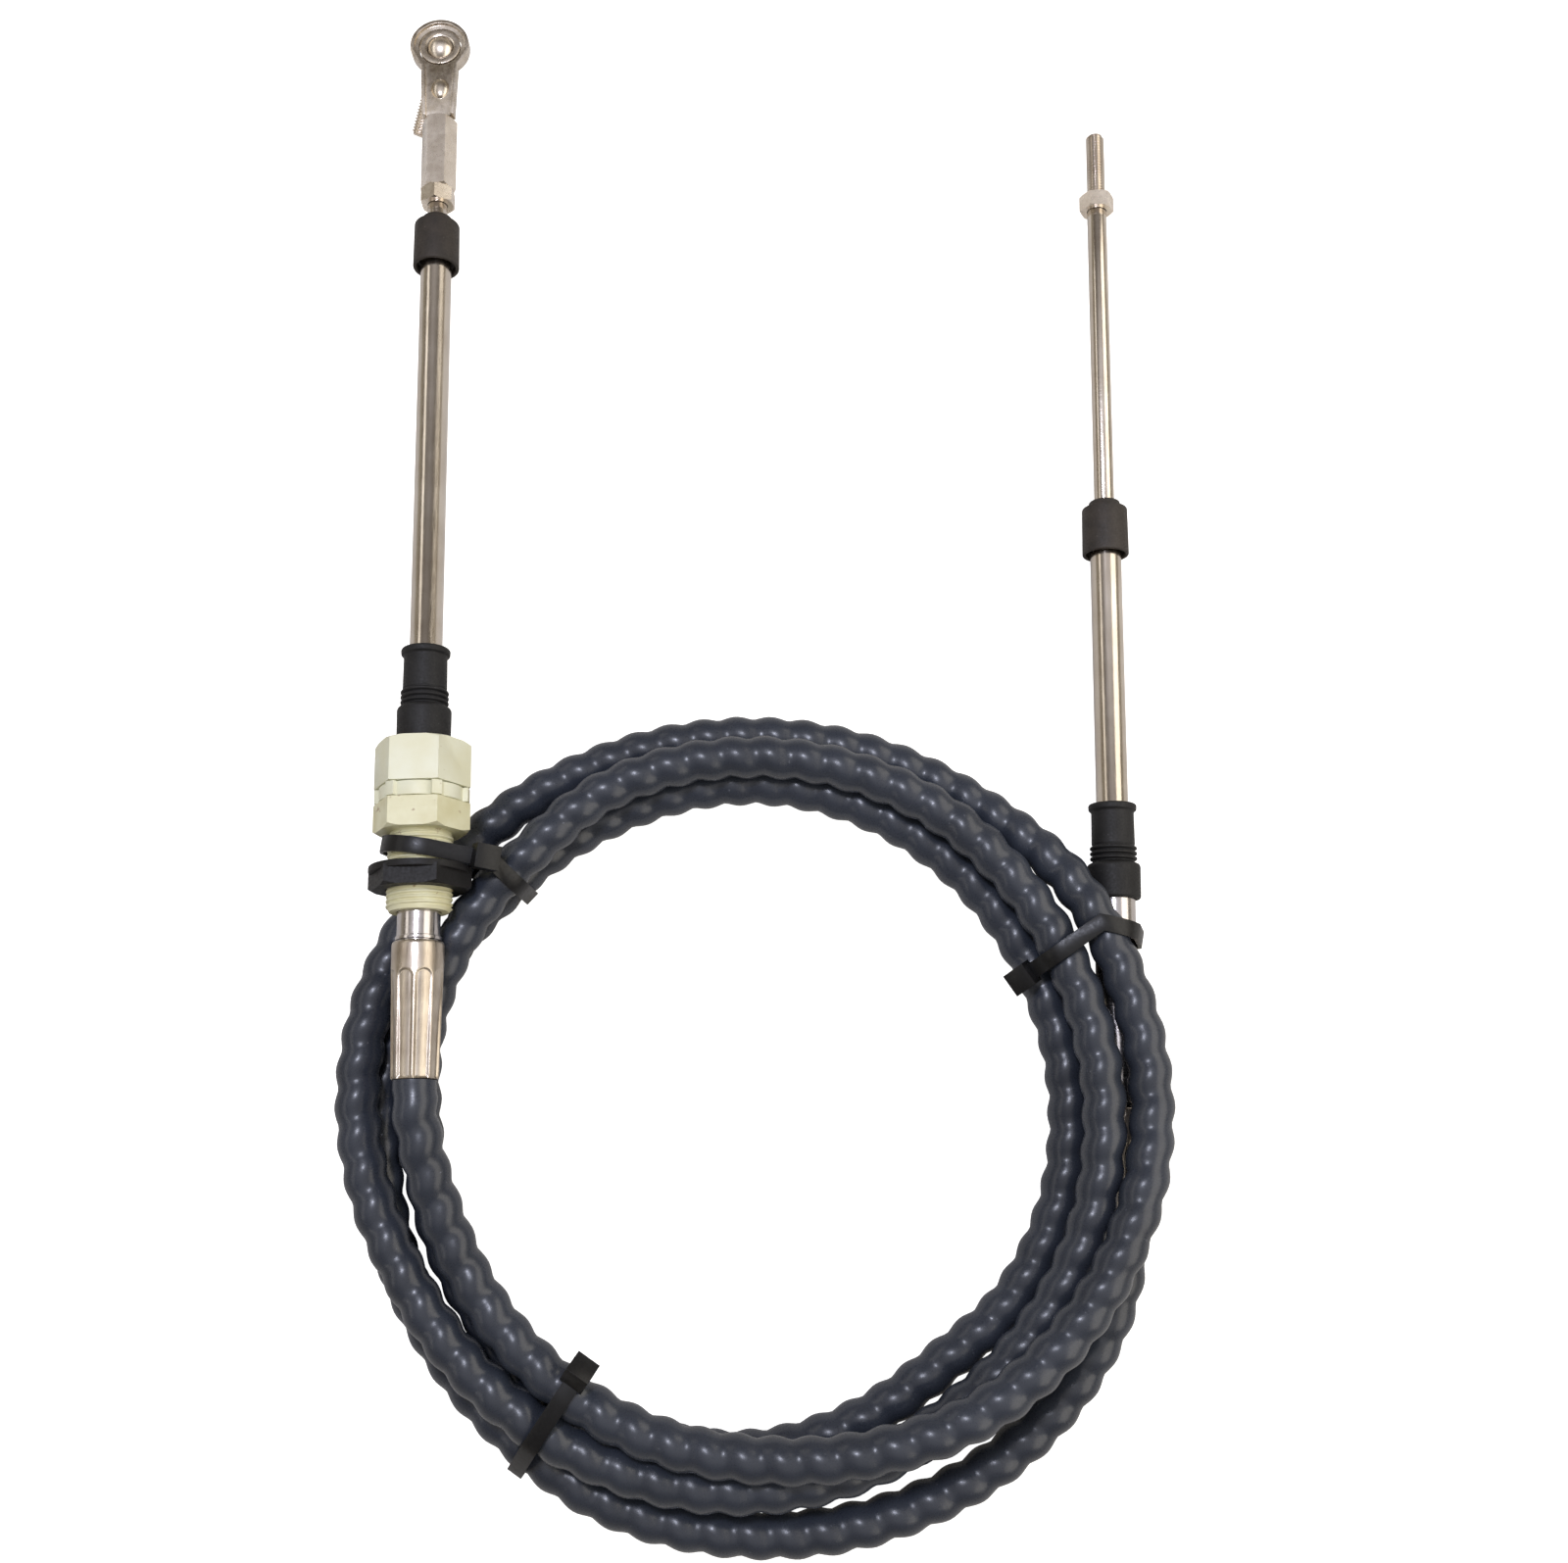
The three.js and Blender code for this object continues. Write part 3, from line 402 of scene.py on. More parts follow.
def surface(name, light, dark, roughness, metallic=0.0, mottle=90, grain=900, depth=0.02,
            stretch=(1, 1, 1), specular=0.5, specks=None):
    """A mottled finish: two colours, a range of roughness and a fine grain.

    mottle and grain are in spots per metre, depth is the grain's height in millimetres, and
    specks gives small spots of another colour, their number per metre and where they start.
    """
    look = bpy.data.materials.new(name)
    look.use_nodes = True
    tree = look.node_tree
    shader = tree.nodes["Principled BSDF"]
    shader.inputs["Metallic"].default_value = metallic
    shader.inputs["Specular IOR Level"].default_value = specular

    def node(kind, **values):
        made = tree.nodes.new(kind)
        for key, value in values.items():
            setattr(made, key, value)
        return made

    def noise(scale, detail, stretched):
        spots = node("ShaderNodeTexNoise")
        spots.inputs["Scale"].default_value = scale
        spots.inputs["Detail"].default_value = detail
        tree.links.new((mapping if stretched else place).outputs[0 if stretched else "Object"],
                       spots.inputs["Vector"])
        return spots.outputs["Fac"]

    place = node("ShaderNodeTexCoord")
    mapping = node("ShaderNodeMapping")
    mapping.inputs["Scale"].default_value = stretch
    tree.links.new(place.outputs["Object"], mapping.inputs["Vector"])

    ramp = node("ShaderNodeValToRGB")
    ramp.color_ramp.elements[0].position = 0.35
    ramp.color_ramp.elements[0].color = (*dark, 1)
    ramp.color_ramp.elements[1].position = 0.65
    ramp.color_ramp.elements[1].color = (*light, 1)
    tree.links.new(noise(mottle, 4, False), ramp.inputs["Fac"])
    colour = ramp.outputs["Color"]
    if specks:
        speck_colour, speck_scale, share = specks
        spots = node("ShaderNodeMapRange")
        spots.inputs["From Min"].default_value = share
        spots.inputs["From Max"].default_value = share + 0.06
        spots.inputs["To Max"].default_value = 0.8
        tree.links.new(noise(speck_scale, 3, False), spots.inputs["Value"])
        mix = node("ShaderNodeMix", data_type="RGBA")
        tree.links.new(colour, mix.inputs[6])
        mix.inputs[7].default_value = (*speck_colour, 1)
        tree.links.new(spots.outputs["Result"], mix.inputs[0])
        colour = mix.outputs[2]
    tree.links.new(colour, shader.inputs["Base Color"])

    fine = noise(grain, 5, True)
    rough = node("ShaderNodeMapRange")
    rough.inputs["From Min"].default_value = 0.3
    rough.inputs["From Max"].default_value = 0.7
    rough.inputs["To Min"].default_value = roughness[0]
    rough.inputs["To Max"].default_value = roughness[1]
    tree.links.new(fine, rough.inputs["Value"])
    tree.links.new(rough.outputs["Result"], shader.inputs["Roughness"])

    bump = node("ShaderNodeBump")
    bump.inputs["Distance"].default_value = depth * MM
    tree.links.new(fine, bump.inputs["Height"])
    tree.links.new(bump.outputs["Normal"], shader.inputs["Normal"])
    return look


def tinted(colour, factor, shift=(1, 1, 1)):
    """The colour made lighter or darker, with each channel shifted."""
    return tuple(min(1, c * factor * s) for c, s in zip(colour, shift))


def make_finishes(settings):
    """All the finishes, by the name of the piece that has them."""
    cover, ivory, steel, rubber = (tuple(c) for c in (
        settings.cover, settings.ivory, settings.steel, settings.rubber))
    round_lines = (0.25, 6, 0.25)
    long_lines = (6, 0.25, 6)
    return {
        "cover": surface("extruded_cover", tinted(cover, 1.12), tinted(cover, 0.84), (0.24, 0.36),
                         mottle=35, grain=1400, depth=0.012, specks=((0.14, 0.15, 0.18), 700, 0.72)),
        "ferrule": surface("crimped_stainless", tinted(steel, 1.02, (1, 0.98, 0.93)),
                           tinted(steel, 0.72, (1, 0.93, 0.85)), (0.24, 0.42), metallic=1,
                           mottle=110, grain=500, depth=0.02, stretch=long_lines),
        "hub": surface("turned_stainless", tinted(steel, 1.08, (0.98, 1, 1.08)),
                       tinted(steel, 0.8, (0.96, 1, 1.12)), (0.12, 0.26), metallic=1,
                       mottle=60, grain=500, depth=0.006, stretch=round_lines),
        "tube": surface("drawn_stainless", tinted(steel, 1.16), tinted(steel, 0.92, (1, 0.97, 0.93)),
                        (0.14, 0.26), metallic=1, mottle=50, grain=420, depth=0.006,
                        stretch=long_lines),
        "rod": surface("ground_stainless", tinted(steel, 1.16), tinted(steel, 0.95, (1, 0.97, 0.94)),
                       (0.12, 0.24), metallic=1, mottle=70, grain=500, depth=0.005,
                       stretch=round_lines),
        "nut": surface("satin_stainless", tinted(steel, 1.5), tinted(steel, 1.25, (1, 0.98, 0.95)),
                       (0.22, 0.36), metallic=1, mottle=160, grain=600, depth=0.012),
        "eye": surface("pressed_stainless", tinted(steel, 1.25), tinted(steel, 0.95, (1, 0.96, 0.88)),
                       (0.2, 0.36), metallic=1, mottle=220, grain=900, depth=0.03),
        "rubber": surface("moulded_rubber", tinted(rubber, 1.35), tinted(rubber, 0.8), (0.5, 0.7),
                          mottle=160, grain=1600, depth=0.02, specular=0.35,
                          specks=((0.04, 0.04, 0.04), 900, 0.7)),
        "cap": surface("cap_plastic", (0.03, 0.023, 0.018), (0.018, 0.014, 0.011), (0.5, 0.7),
                       mottle=240, grain=1500, depth=0.03, specks=((0.06, 0.05, 0.042), 1100, 0.68)),
        "ivory": surface("ivory_plastic", ivory, tinted(ivory, 0.93, (1, 0.97, 0.86)), (0.36, 0.52),
                         mottle=70, grain=1300, depth=0.015, specks=((0.42, 0.33, 0.2), 420, 0.71)),
        "aged": surface("aged_ivory_plastic", tinted(ivory, 0.98, (1, 0.97, 0.86)),
                        tinted(ivory, 0.86, (1, 0.94, 0.74)), (0.36, 0.52), mottle=130, grain=1300,
                        depth=0.02, specks=((0.30, 0.19, 0.09), 300, 0.64)),
        "locknut": surface("locknut_plastic", (0.011, 0.0105, 0.011), (0.007, 0.0068, 0.007),
                           (0.45, 0.65), mottle=140, grain=1300, depth=0.03, specular=0.3),
        "tie": surface("tie_nylon", (0.007, 0.0072, 0.008), (0.004, 0.0042, 0.005), (0.3, 0.45),
                       mottle=120, grain=1200, depth=0.01, specular=0.35),
    }


FINISH = {}


# The conduit

def station_values(angles):
    """Radius and height of the conduit's centre at each angle, by cubic pieces."""
    at = STATIONS[:, 0]
    i = np.clip(np.searchsorted(at, angles, side="left") - 1, 0, len(at) - 2)
    low, high = np.maximum(np.arange(len(at)) - 1, 0), np.minimum(np.arange(len(at)) + 1, len(at) - 1)
    span = at[i + 1] - at[i]
    u = (angles - at[i]) / span
    values = []
    for column in (1, 2):
        v = STATIONS[:, column]
        slope = (v[high] - v[low]) / (at[high] - at[low])
        start = (2 * u ** 3 - 3 * u ** 2 + 1) * v[i] + (3 * u ** 2 - 2 * u ** 3) * v[i + 1]
        lean = (u ** 3 - 2 * u ** 2 + u) * slope[i] + (u ** 3 - u ** 2) * slope[i + 1]
        values.append(start + lean * span)
    return values


def through(points, steps=12):
    """A centripetal curve through the points."""
    ends = [2 * points[0] - points[1], *points, 2 * points[-1] - points[-2]]
    out = []
    u = (np.arange(steps) / steps)[:, None]
    for p0, p1, p2, p3 in zip(ends, ends[1:], ends[2:], ends[3:]):
        d0, d1, d2 = (np.linalg.norm(b - a) ** 0.5 for a, b in ((p0, p1), (p1, p2), (p2, p3)))
        t1 = ((p1 - p0) / d0 - (p2 - p0) / (d0 + d1) + (p2 - p1) / d1) * d1
        t2 = ((p2 - p1) / d1 - (p3 - p1) / (d1 + d2) + (p3 - p2) / d2) * d1
        out.append(p1 + t1 * u + (3 * p2 - 3 * p1 - 2 * t1 - t2) * u ** 2
                   + (2 * p1 - 2 * p2 + t1 + t2) * u ** 3)
    return np.vstack([*out, points[-1][None]])


def evenly(points, step):
    """The same line with its points a step apart."""
    lengths = np.concatenate([[0], np.cumsum(np.linalg.norm(np.diff(points, axis=0), axis=1))])
    at = np.linspace(0, lengths[-1], round(lengths[-1] / step) + 1)
    return np.column_stack([np.interp(at, lengths, points[:, k]) for k in range(3)]), lengths[-1]


def conduit_centres(step):
    """The centre line from one ferrule to the other, in metres, and its length."""
    angles = np.linspace(STATIONS[0, 0], STATIONS[-1, 0], COIL_SAMPLES)
    radius, height = station_values(angles)
    turns = np.radians(angles)
    coil = np.column_stack([radius * np.cos(turns), radius * np.sin(turns) + COIL_SHIFT, height]) * MM
    left, left_lead, right_lead, right = (
        np.array(end @ Vector((0, -back, 0)))
        for end, back in ((LEFT, 0), (LEFT, LEAD), (RIGHT, LEAD), (RIGHT, 0)))
    return evenly(through([left, left_lead, *coil, right_lead, right]), step)


def make_conduit(settings):
    """The cover with the armour's helix in it, swept along the centre line."""
    centres, length = conduit_centres(settings.pitch / SWEEP_STEPS_PER_TURN)
    tangents = np.gradient(centres, axis=0)
    tangents /= np.linalg.norm(tangents, axis=1)[:, None]
    normal = np.cross(tangents[0], (0, 0, 1))
    normals = []
    for tangent in tangents:
        normal = normal - tangent * normal.dot(tangent)
        normal /= np.linalg.norm(normal)
        normals.append(normal)
    normals = np.array(normals)
    sideways = np.cross(tangents, normals)

    bpy.ops.object.select_all(action="DESELECT")
    bpy.ops.mesh.primitive_grid_add(
        x_subdivisions=SWEEP_SIDES, y_subdivisions=len(centres) - 1, size=2)
    obj = bpy.context.object
    obj.name = "covered_conduit"
    co = np.empty(len(obj.data.vertices) * 3)
    obj.data.vertices.foreach_get("co", co)
    co = co.reshape(-1, 3)
    side = np.rint((co[:, 0] + 1) / 2 * SWEEP_SIDES) % SWEEP_SIDES
    ring = np.rint((co[:, 1] + 1) / 2 * (len(centres) - 1)).astype(int)
    along = ring * length / (len(centres) - 1)
    angle = side / SWEEP_SIDES * math.tau
    crest = 0.5 + 0.5 * np.cos(angle - along / settings.pitch * math.tau)
    wave = 2 * np.maximum(crest, 0.001) ** WAVE_POWER - 1 - WAVE_OVAL * np.cos(2 * angle)
    fade = smooth_step(np.minimum(along, length - along) / END_FADE)
    radius = settings.diameter / 2 + settings.bulge * wave * fade
    co = centres[ring] + (normals[ring] * np.cos(angle)[:, None]
                          + sideways[ring] * np.sin(angle)[:, None]) * radius[:, None]
    obj.data.vertices.foreach_set("co", co.ravel())
    bpy.ops.object.mode_set(mode="EDIT")
    bpy.ops.mesh.select_all(action="SELECT")
    bpy.ops.mesh.remove_doubles(threshold=1e-7)
    bpy.ops.mesh.select_all(action="SELECT")
    bpy.ops.mesh.fill_holes(sides=0)
    close_up(1e-7)
    riding(obj, Matrix.Identity(4), ["conduit"], FINISH["cover"], sharp=60)


# Both ends

def make_ferrule(side, place):
    """The sleeve: a smooth collar, and flutes with arched tops below it."""
    arches, seat = COLLAR_START - 5, FERRULE_TOP - HUB_DEPTH - GAP
    obj = turned(f"{side}_crimped_ferrule", [
        (CORE_BORE, GAP), (FERRULE_MOUTH, GAP), *stepped((6.8, 0.8), (SLEEVE_RADIUS, arches), 0.6),
        *stepped((SLEEVE_RADIUS, arches), (7.5, COLLAR_START + 0.6), 0.25),
        (COLLAR_RADIUS, COLLAR_START + 0.9), (COLLAR_RADIUS, FERRULE_TOP - 1.1),
        (7.4, FERRULE_TOP - 0.35), (7.1, FERRULE_TOP), (FERRULE_MOUTH, FERRULE_TOP),
        (6.45, FERRULE_TOP - 0.4), (6.45, seat), (CORE_BORE, seat),
    ], 192)

    def crimped(radius, along, angle):
        across = ((angle - FIRST_FLUTE) / math.tau * FLUTES + 0.5) % 1 - 0.5
        share = np.abs(across) / 0.46
        arch = COLLAR_START + 0.2 - 3 * (1 - np.sqrt(np.clip(1 - share ** 2, 0, 1)))
        below = smooth_step((arch - along) / 0.7)
        deeper = 0.55 + 0.45 * smooth_step((arch - along) / 20)
        groove = FLUTE_DEPTH * deeper * (1 - smooth_step((share - 0.72) / 0.28))
        return np.where(radius > FERRULE_MOUTH, radius - groove * below, radius)

    relief(obj, crimped)
    riding(obj, place, [f"{side}_ferrule"], FINISH["ferrule"], sharp=50)


def make_hub(side, place, boot):
    """The turned hub, with a ring near its foot and the swivel's socket at its top."""
    swivel = boot + SWIVEL_HEIGHT
    cavity = arc(SOCKET_RADIUS, swivel, 0.415, -0.835)
    ring = FERRULE_TOP + 0.35
    obj = turned(f"{side}_turned_hub", [
        (CORE_BORE, FERRULE_TOP - HUB_DEPTH), (HUB_RADIUS, FERRULE_TOP - HUB_DEPTH),
        (HUB_RADIUS, ring),
        (6.6, ring + 0.2), (6.7, ring + 0.7), (6.6, ring + 1.2), (HUB_RADIUS, ring + 1.4),
        (HUB_RADIUS, boot + 1.7), (7, boot + 2.5), (7, swivel + 2.5), *cavity,
        (CORE_BORE, swivel - 4.6),
    ])
    riding(obj, place, [f"{side}_hub"], FINISH["hub"])


def make_boot(side, place, boot):
    """The rubber boot: a wide foot, three rings, a neck and a thin flared lip."""
    ring_start = boot + BOOT_LOWER
    top = boot + BOOT_LENGTH
    profile = [(6.55, boot + GAP), (7.6, boot + GAP), (8, boot + 0.9),
               (8.1, ring_start - 0.9), (7.8, ring_start - 0.2), (7.1, ring_start + 0.1)]
    for k in range(3):
        foot = ring_start + (k + 0.5) * RING_PITCH
        profile += [(6.3, foot - 0.2), (6.4, foot + 0.15), (7.1, foot + 0.5), (7.2, foot + 0.85),
                    (7.05, foot + 1.2)]
    profile += [(6.3, ring_start + 5.5), (6.6, ring_start + 6.1), (6.5, top - 3), (6.6, top - 2.4),
                (7.3, top - 1.9), (7.4, top - 0.5), (7, top), (5.2, top),
                (5.2, ring_start + 6.6), (5.6, ring_start + 5.6), (5.6, ring_start + 1),
                (7.3, ring_start - 1.5), (7.3, boot + 1.7), (6.55, boot + 1.4)]
    obj = turned(f"{side}_moulded_boot", eased(profile, 0.28))
    settle(obj, place, [f"{side}_boot"], FINISH["rubber"], sharp=45)
    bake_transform(obj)


def make_tube_and_cap(side, place, boot, cap):
    """The guide tube with the swivel's ball at its foot, and the cap that wipes the rod."""
    swivel = boot + SWIVEL_HEIGHT
    ball = arc(BALL_RADIUS, swivel, -0.7, 0.591)
    bore, top = ROD_RADIUS + GAP, cap + CAP_SEAT - GAP
    tube = turned(f"{side}_drawn_tube", [(bore, swivel - 3.8), *ball, (TUBE_RADIUS, top), (bore, top)])
    riding(tube, place, [f"{side}_support_tube"], FINISH["tube"])
    shoulder = cap + CAP_BODY
    seat = TUBE_RADIUS + GAP
    profile = [(6.2, cap), (CAP_RADIUS, cap), (CAP_RADIUS - 0.15, shoulder), (5.15, shoulder + 0.15),
               (4.9, cap + CAP_LENGTH), (3.5, cap + CAP_LENGTH), (3.5, cap + CAP_SEAT),
               (seat, cap + CAP_SEAT), (seat, cap + CAP_RECESS), (6.2, cap + CAP_RECESS)]
    moulded = turned(f"{side}_moulded_cap", eased(profile, 0.55, 4))
    riding(moulded, place, [f"{side}_wiper_cap"], FINISH["cap"], sharp=45)


def thread(start, end, root, crest, pitch, run_out=1.0):
    """Gives relief() a single-start right-hand thread between two positions."""
    def cut(radius, along, angle):
        turn = (along / pitch - angle / math.tau) % 1
        tooth = smooth_step((1 - np.abs(2 * turn - 1) - 0.14) / 0.62)
        inside = smooth_step((along - start) / run_out) * (along < end + 1e-6)
        shaped = crest - (crest - root) * (1 - tooth) * inside
        reached = (along > start - 1e-6) & (radius > root - 0.3)
        return np.where(reached, np.minimum(radius, shaped), radius)
    return cut


def make_rod(name, place, node, inner, shoulder, tip):
    """A ground rod with a rolled M6 thread and a chamfered tip."""
    obj = turned(name, [
        (0, inner), (2.9, inner), (ROD_RADIUS, inner + 0.4), (ROD_RADIUS, shoulder - 0.6),
        *stepped((M6_CREST, shoulder), (M6_CREST, tip - 0.7), 0.125), (M6_CREST, tip - 0.7),
        (2.35, tip), (0, tip),
    ], 40)
    relief(obj, thread(shoulder, tip, M6_ROOT, M6_CREST, M6_PITCH))
    riding(obj, place, [node], FINISH["rod"], sharp=50)


# The left end

def make_fitting():
    """The ivory fitting in its three parts, and the black locknut on its thread."""
    bore, thread_end = HUB_RADIUS + GAP, HEX_START - 0.9
    body = hexagon("hex_body", FITTING_FLATS, HEX_START, HEX_TOP, HEX_CHAMFER, FACE_CHAMFER, 0)
    threaded = turned("thread_part", [
        (bore, FITTING), (FITTING_THREAD - 1, FITTING), (FITTING_THREAD, FITTING + 1),
        *stepped((FITTING_THREAD, FITTING + 1), (FITTING_THREAD, thread_end), 0.19),
        (9, HEX_START - 0.5), (9, HEX_START + 1), (bore, HEX_START + 1),
    ], 72)
    relief(threaded, thread(FITTING, thread_end, FITTING_THREAD - 0.6, FITTING_THREAD, FITTING_PITCH))
    spigot = cylinder("spigot", SPIGOT_RADIUS, HEX_TOP - 1, HEX_TOP + SPIGOT_LENGTH)
    combined(body, spigot, "UNION")
    combined(body, threaded, "UNION")
    combined(body, cylinder("bore", bore, FITTING - 1, HEX_TOP + 20), "DIFFERENCE")
    body.name = "fitting_body"
    riding(body, LEFT, ["bulkhead_body"], FINISH["aged"], bevel=0.22, sharp=30)

    low, high = HEX_TOP + GAP, CAP_NUT - GAP
    inside = SPIGOT_RADIUS + GAP
    ring = turned("fitting_ring", eased(
        [(inside, low), (RING_RADIUS, low), (RING_RADIUS, high), (inside, high)], 0.3))
    for k in range(6):
        turn = Matrix.Rotation(k * math.tau / 6, 4, "Y")
        bpy.ops.object.select_all(action="DESELECT")
        bpy.ops.mesh.primitive_cube_add(size=1)
        rib = bpy.context.object
        middle = Matrix.Translation((RING_RADIUS, (low + high) / 2, 0))
        rib.matrix_world = turn @ middle @ Matrix.Diagonal((2.8, high - low - 0.1, 3, 1))
        bpy.ops.object.transform_apply(location=True, rotation=True, scale=True)
        combined(ring, rib, "UNION")
    riding(ring, LEFT, ["bulkhead_ring"], FINISH["ivory"], bevel=0.3, sharp=30)

    cap = hexagon(
        "fitting_cap_nut", FITTING_FLATS, CAP_NUT, LEFT_BOOT, FACE_CHAMFER, HEX_CHAMFER, bore)
    combined(cap, cylinder("cavity", inside, CAP_NUT - 1, LEFT_BOOT - 3.2), "DIFFERENCE")
    riding(cap, LEFT, ["bulkhead_cap_nut"], FINISH["ivory"], bevel=0.35, sharp=30)

    nut = hexagon(
        "fitting_locknut", LOCKNUT_FLATS, LOCKNUT, LOCKNUT_FLANGE + 1, HEX_CHAMFER, 0, 0)
    flange = turned("flange", eased([
        (0, LOCKNUT_FLANGE), (FLANGE_RADIUS, LOCKNUT_FLANGE), (FLANGE_RADIUS, LOCKNUT_TOP),
        (0, LOCKNUT_TOP)], 0.6), 96)
    combined(nut, flange, "UNION")
    opening = cylinder("bore", FITTING_THREAD + GAP, LOCKNUT - 1, LOCKNUT_TOP + 1)
    combined(nut, opening, "DIFFERENCE")
    nut.name = "fitting_locknut"
    riding(nut, LEFT, ["bulkhead_locknut"], FINISH["locknut"], bevel=0.25, sharp=30)


def outline_plate(name, outline, low, high):
    """A flat plate with that outline, from one height to the other."""
    bpy.ops.object.select_all(action="DESELECT")
    bpy.ops.mesh.primitive_circle_add(vertices=len(outline), radius=1, fill_type="NGON")
    obj = bpy.context.object
    obj.name = name
    for vertex, (x, y) in zip(obj.data.vertices, outline):
        vertex.co = (x, y, low)
    bpy.ops.object.mode_set(mode="EDIT")
    bpy.ops.mesh.select_all(action="SELECT")
    bpy.ops.mesh.extrude_region_move(TRANSFORM_OT_translate={"value": (0, 0, high - low)})
    close_up()
    return obj


def eye_outline(inset, foot):
    """The eye's outline, drawn in by the inset: a round head on a tapering neck."""
    radius, neck, side = EYE_RADIUS - inset, 6 - inset, 5.25 - inset
    join = math.acos(neck / radius)
    return [(-side, foot), (side, foot), *arc(radius, 0, -join, math.pi + join, 61)]


def make_eye():
    """The pressed eye with a raised rim, its race ring and its rivet."""
    foot, rim = -26.6, 1.3
    plate = outline_plate("pressed_eye", eye_outline(0, foot), 0.5, 4.1)
    combined(plate, outline_plate("hollow", eye_outline(rim, foot - 1), 3.0, 6), "DIFFERENCE")
    stem = cylinder("stem", 3, -38, -12, 40)
    combined(plate, stem, "UNION")
    bpy.ops.object.select_all(action="DESELECT")
    bpy.ops.mesh.primitive_cylinder_add(vertices=64, radius=EYE_BORE, depth=30)
    combined(plate, bpy.context.object, "DIFFERENCE")
    bpy.ops.mesh.primitive_uv_sphere_add(
        segments=32, ring_count=16, radius=1, location=(0.4, -16.4, 2.5))
    rivet = bpy.context.object
    rivet.scale = (3, 3.9, 2)
    bpy.ops.object.transform_apply(location=True, rotation=True, scale=True)
    combined(plate, rivet, "UNION")
    plate.name = "pressed_eye"
    at_eye = LEFT @ Matrix.Translation((0, EYE, 0))
    riding(plate, at_eye, ["rod_end_eye"], FINISH["eye"], bevel=0.28, sharp=30)

    bowl = arc(5.25, 0, 0.56, -0.038)
    race = turned("race_ring", eased([
        (6, -0.2), (6.75, 0.2), (6.75, 3.3), (4.75, 3.3)], 0.35) + bowl)
    upright = Matrix.Rotation(math.pi / 2, 4, "X")
    riding(race, at_eye @ upright, ["ball_race"], FINISH["eye"], sharp=40)


def make_stud():
    """The ball and its threaded shank, tilted in the race."""
    ball = arc(STUD_BALL, 0, -1.093, math.pi / 2, 24)
    obj = turned("ball_and_shank", [
        (0, -STUD_LENGTH), (2.3, -STUD_LENGTH),
        *stepped((M6_CREST, 0.7 - STUD_LENGTH), (M6_CREST, -12), 0.125),
        (M6_CREST, -12), (3.7, -12), (3.9, -11.8),
        (3.9, -10.2), (3.7, -10), (2.3, -10), *ball,
    ], 48)
    cut = thread(-28.5, -12.3, M6_ROOT, M6_CREST, M6_PITCH)
    relief(obj, lambda r, s, a: np.where((s < -12.3) & (r > 2.5), cut(r, s, a), r))
    key = cylinder("key", corner_radius(KEY_FLATS), 2.4, 8, 6)
    combined(obj, key, "DIFFERENCE")
    obj.name = "ball_and_shank"
    tilt = Matrix.Rotation(math.radians(-25), 4, "Z") @ Matrix.Rotation(math.radians(32), 4, "X")
    riding(obj, LEFT @ Matrix.Translation((0, EYE, 0)) @ tilt, ["ball_stud"], FINISH["nut"], sharp=45)


def make_tie(node):
    """A nylon tie: the CAD strap and head with their edges eased."""
    obj = frame["nodes"][node].copy()
    obj.data = obj.data.copy()
    for key in list(obj.keys()):
        del obj[key]
    obj.parent = None
    bpy.context.scene.collection.objects.link(obj)
    obj.name = node.replace("cable_tie", "nylon_tie")
    only(obj)
    bpy.ops.object.mode_set(mode="EDIT")
    close_up(1e-6)
    riding(obj, Matrix.Identity(4), [node], FINISH["tie"], bevel=0.22 * MM, sharp=32)


# Operators, one for each group of pieces

class CABLE_OT_conduit(bpy.types.Operator):
    """Sweep the covered conduit along its coil"""

    bl_idname = "cable.conduit"
    bl_label = "Conduit"

    def execute(self, context):
        make_conduit(context.scene.cable_conduit)
        return {"FINISHED"}


class CABLE_OT_ferrules(bpy.types.Operator):
    """Turn and crimp the ferrules, and turn the hubs"""

    bl_idname = "cable.ferrules"
    bl_label = "Ferrules and hubs"

    def execute(self, context):
        for side, place, boot, _cap in ENDS:
            make_ferrule(side, place)
            make_hub(side, place, boot)
        return {"FINISHED"}


class CABLE_OT_boots(bpy.types.Operator):
    """Mould the rubber boots over the swivels"""

    bl_idname = "cable.boots"
    bl_label = "Rubber boots"

    def execute(self, context):
        for side, place, boot, _cap in ENDS:
            make_boot(side, place, boot)
        return {"FINISHED"}


class CABLE_OT_guides(bpy.types.Operator):
    """Make the guide tubes and their wiper caps"""

    bl_idname = "cable.guides"
    bl_label = "Guide tubes and caps"

    def execute(self, context):
        for side, place, boot, cap in ENDS:
            make_tube_and_cap(side, place, boot, cap)
        return {"FINISHED"}


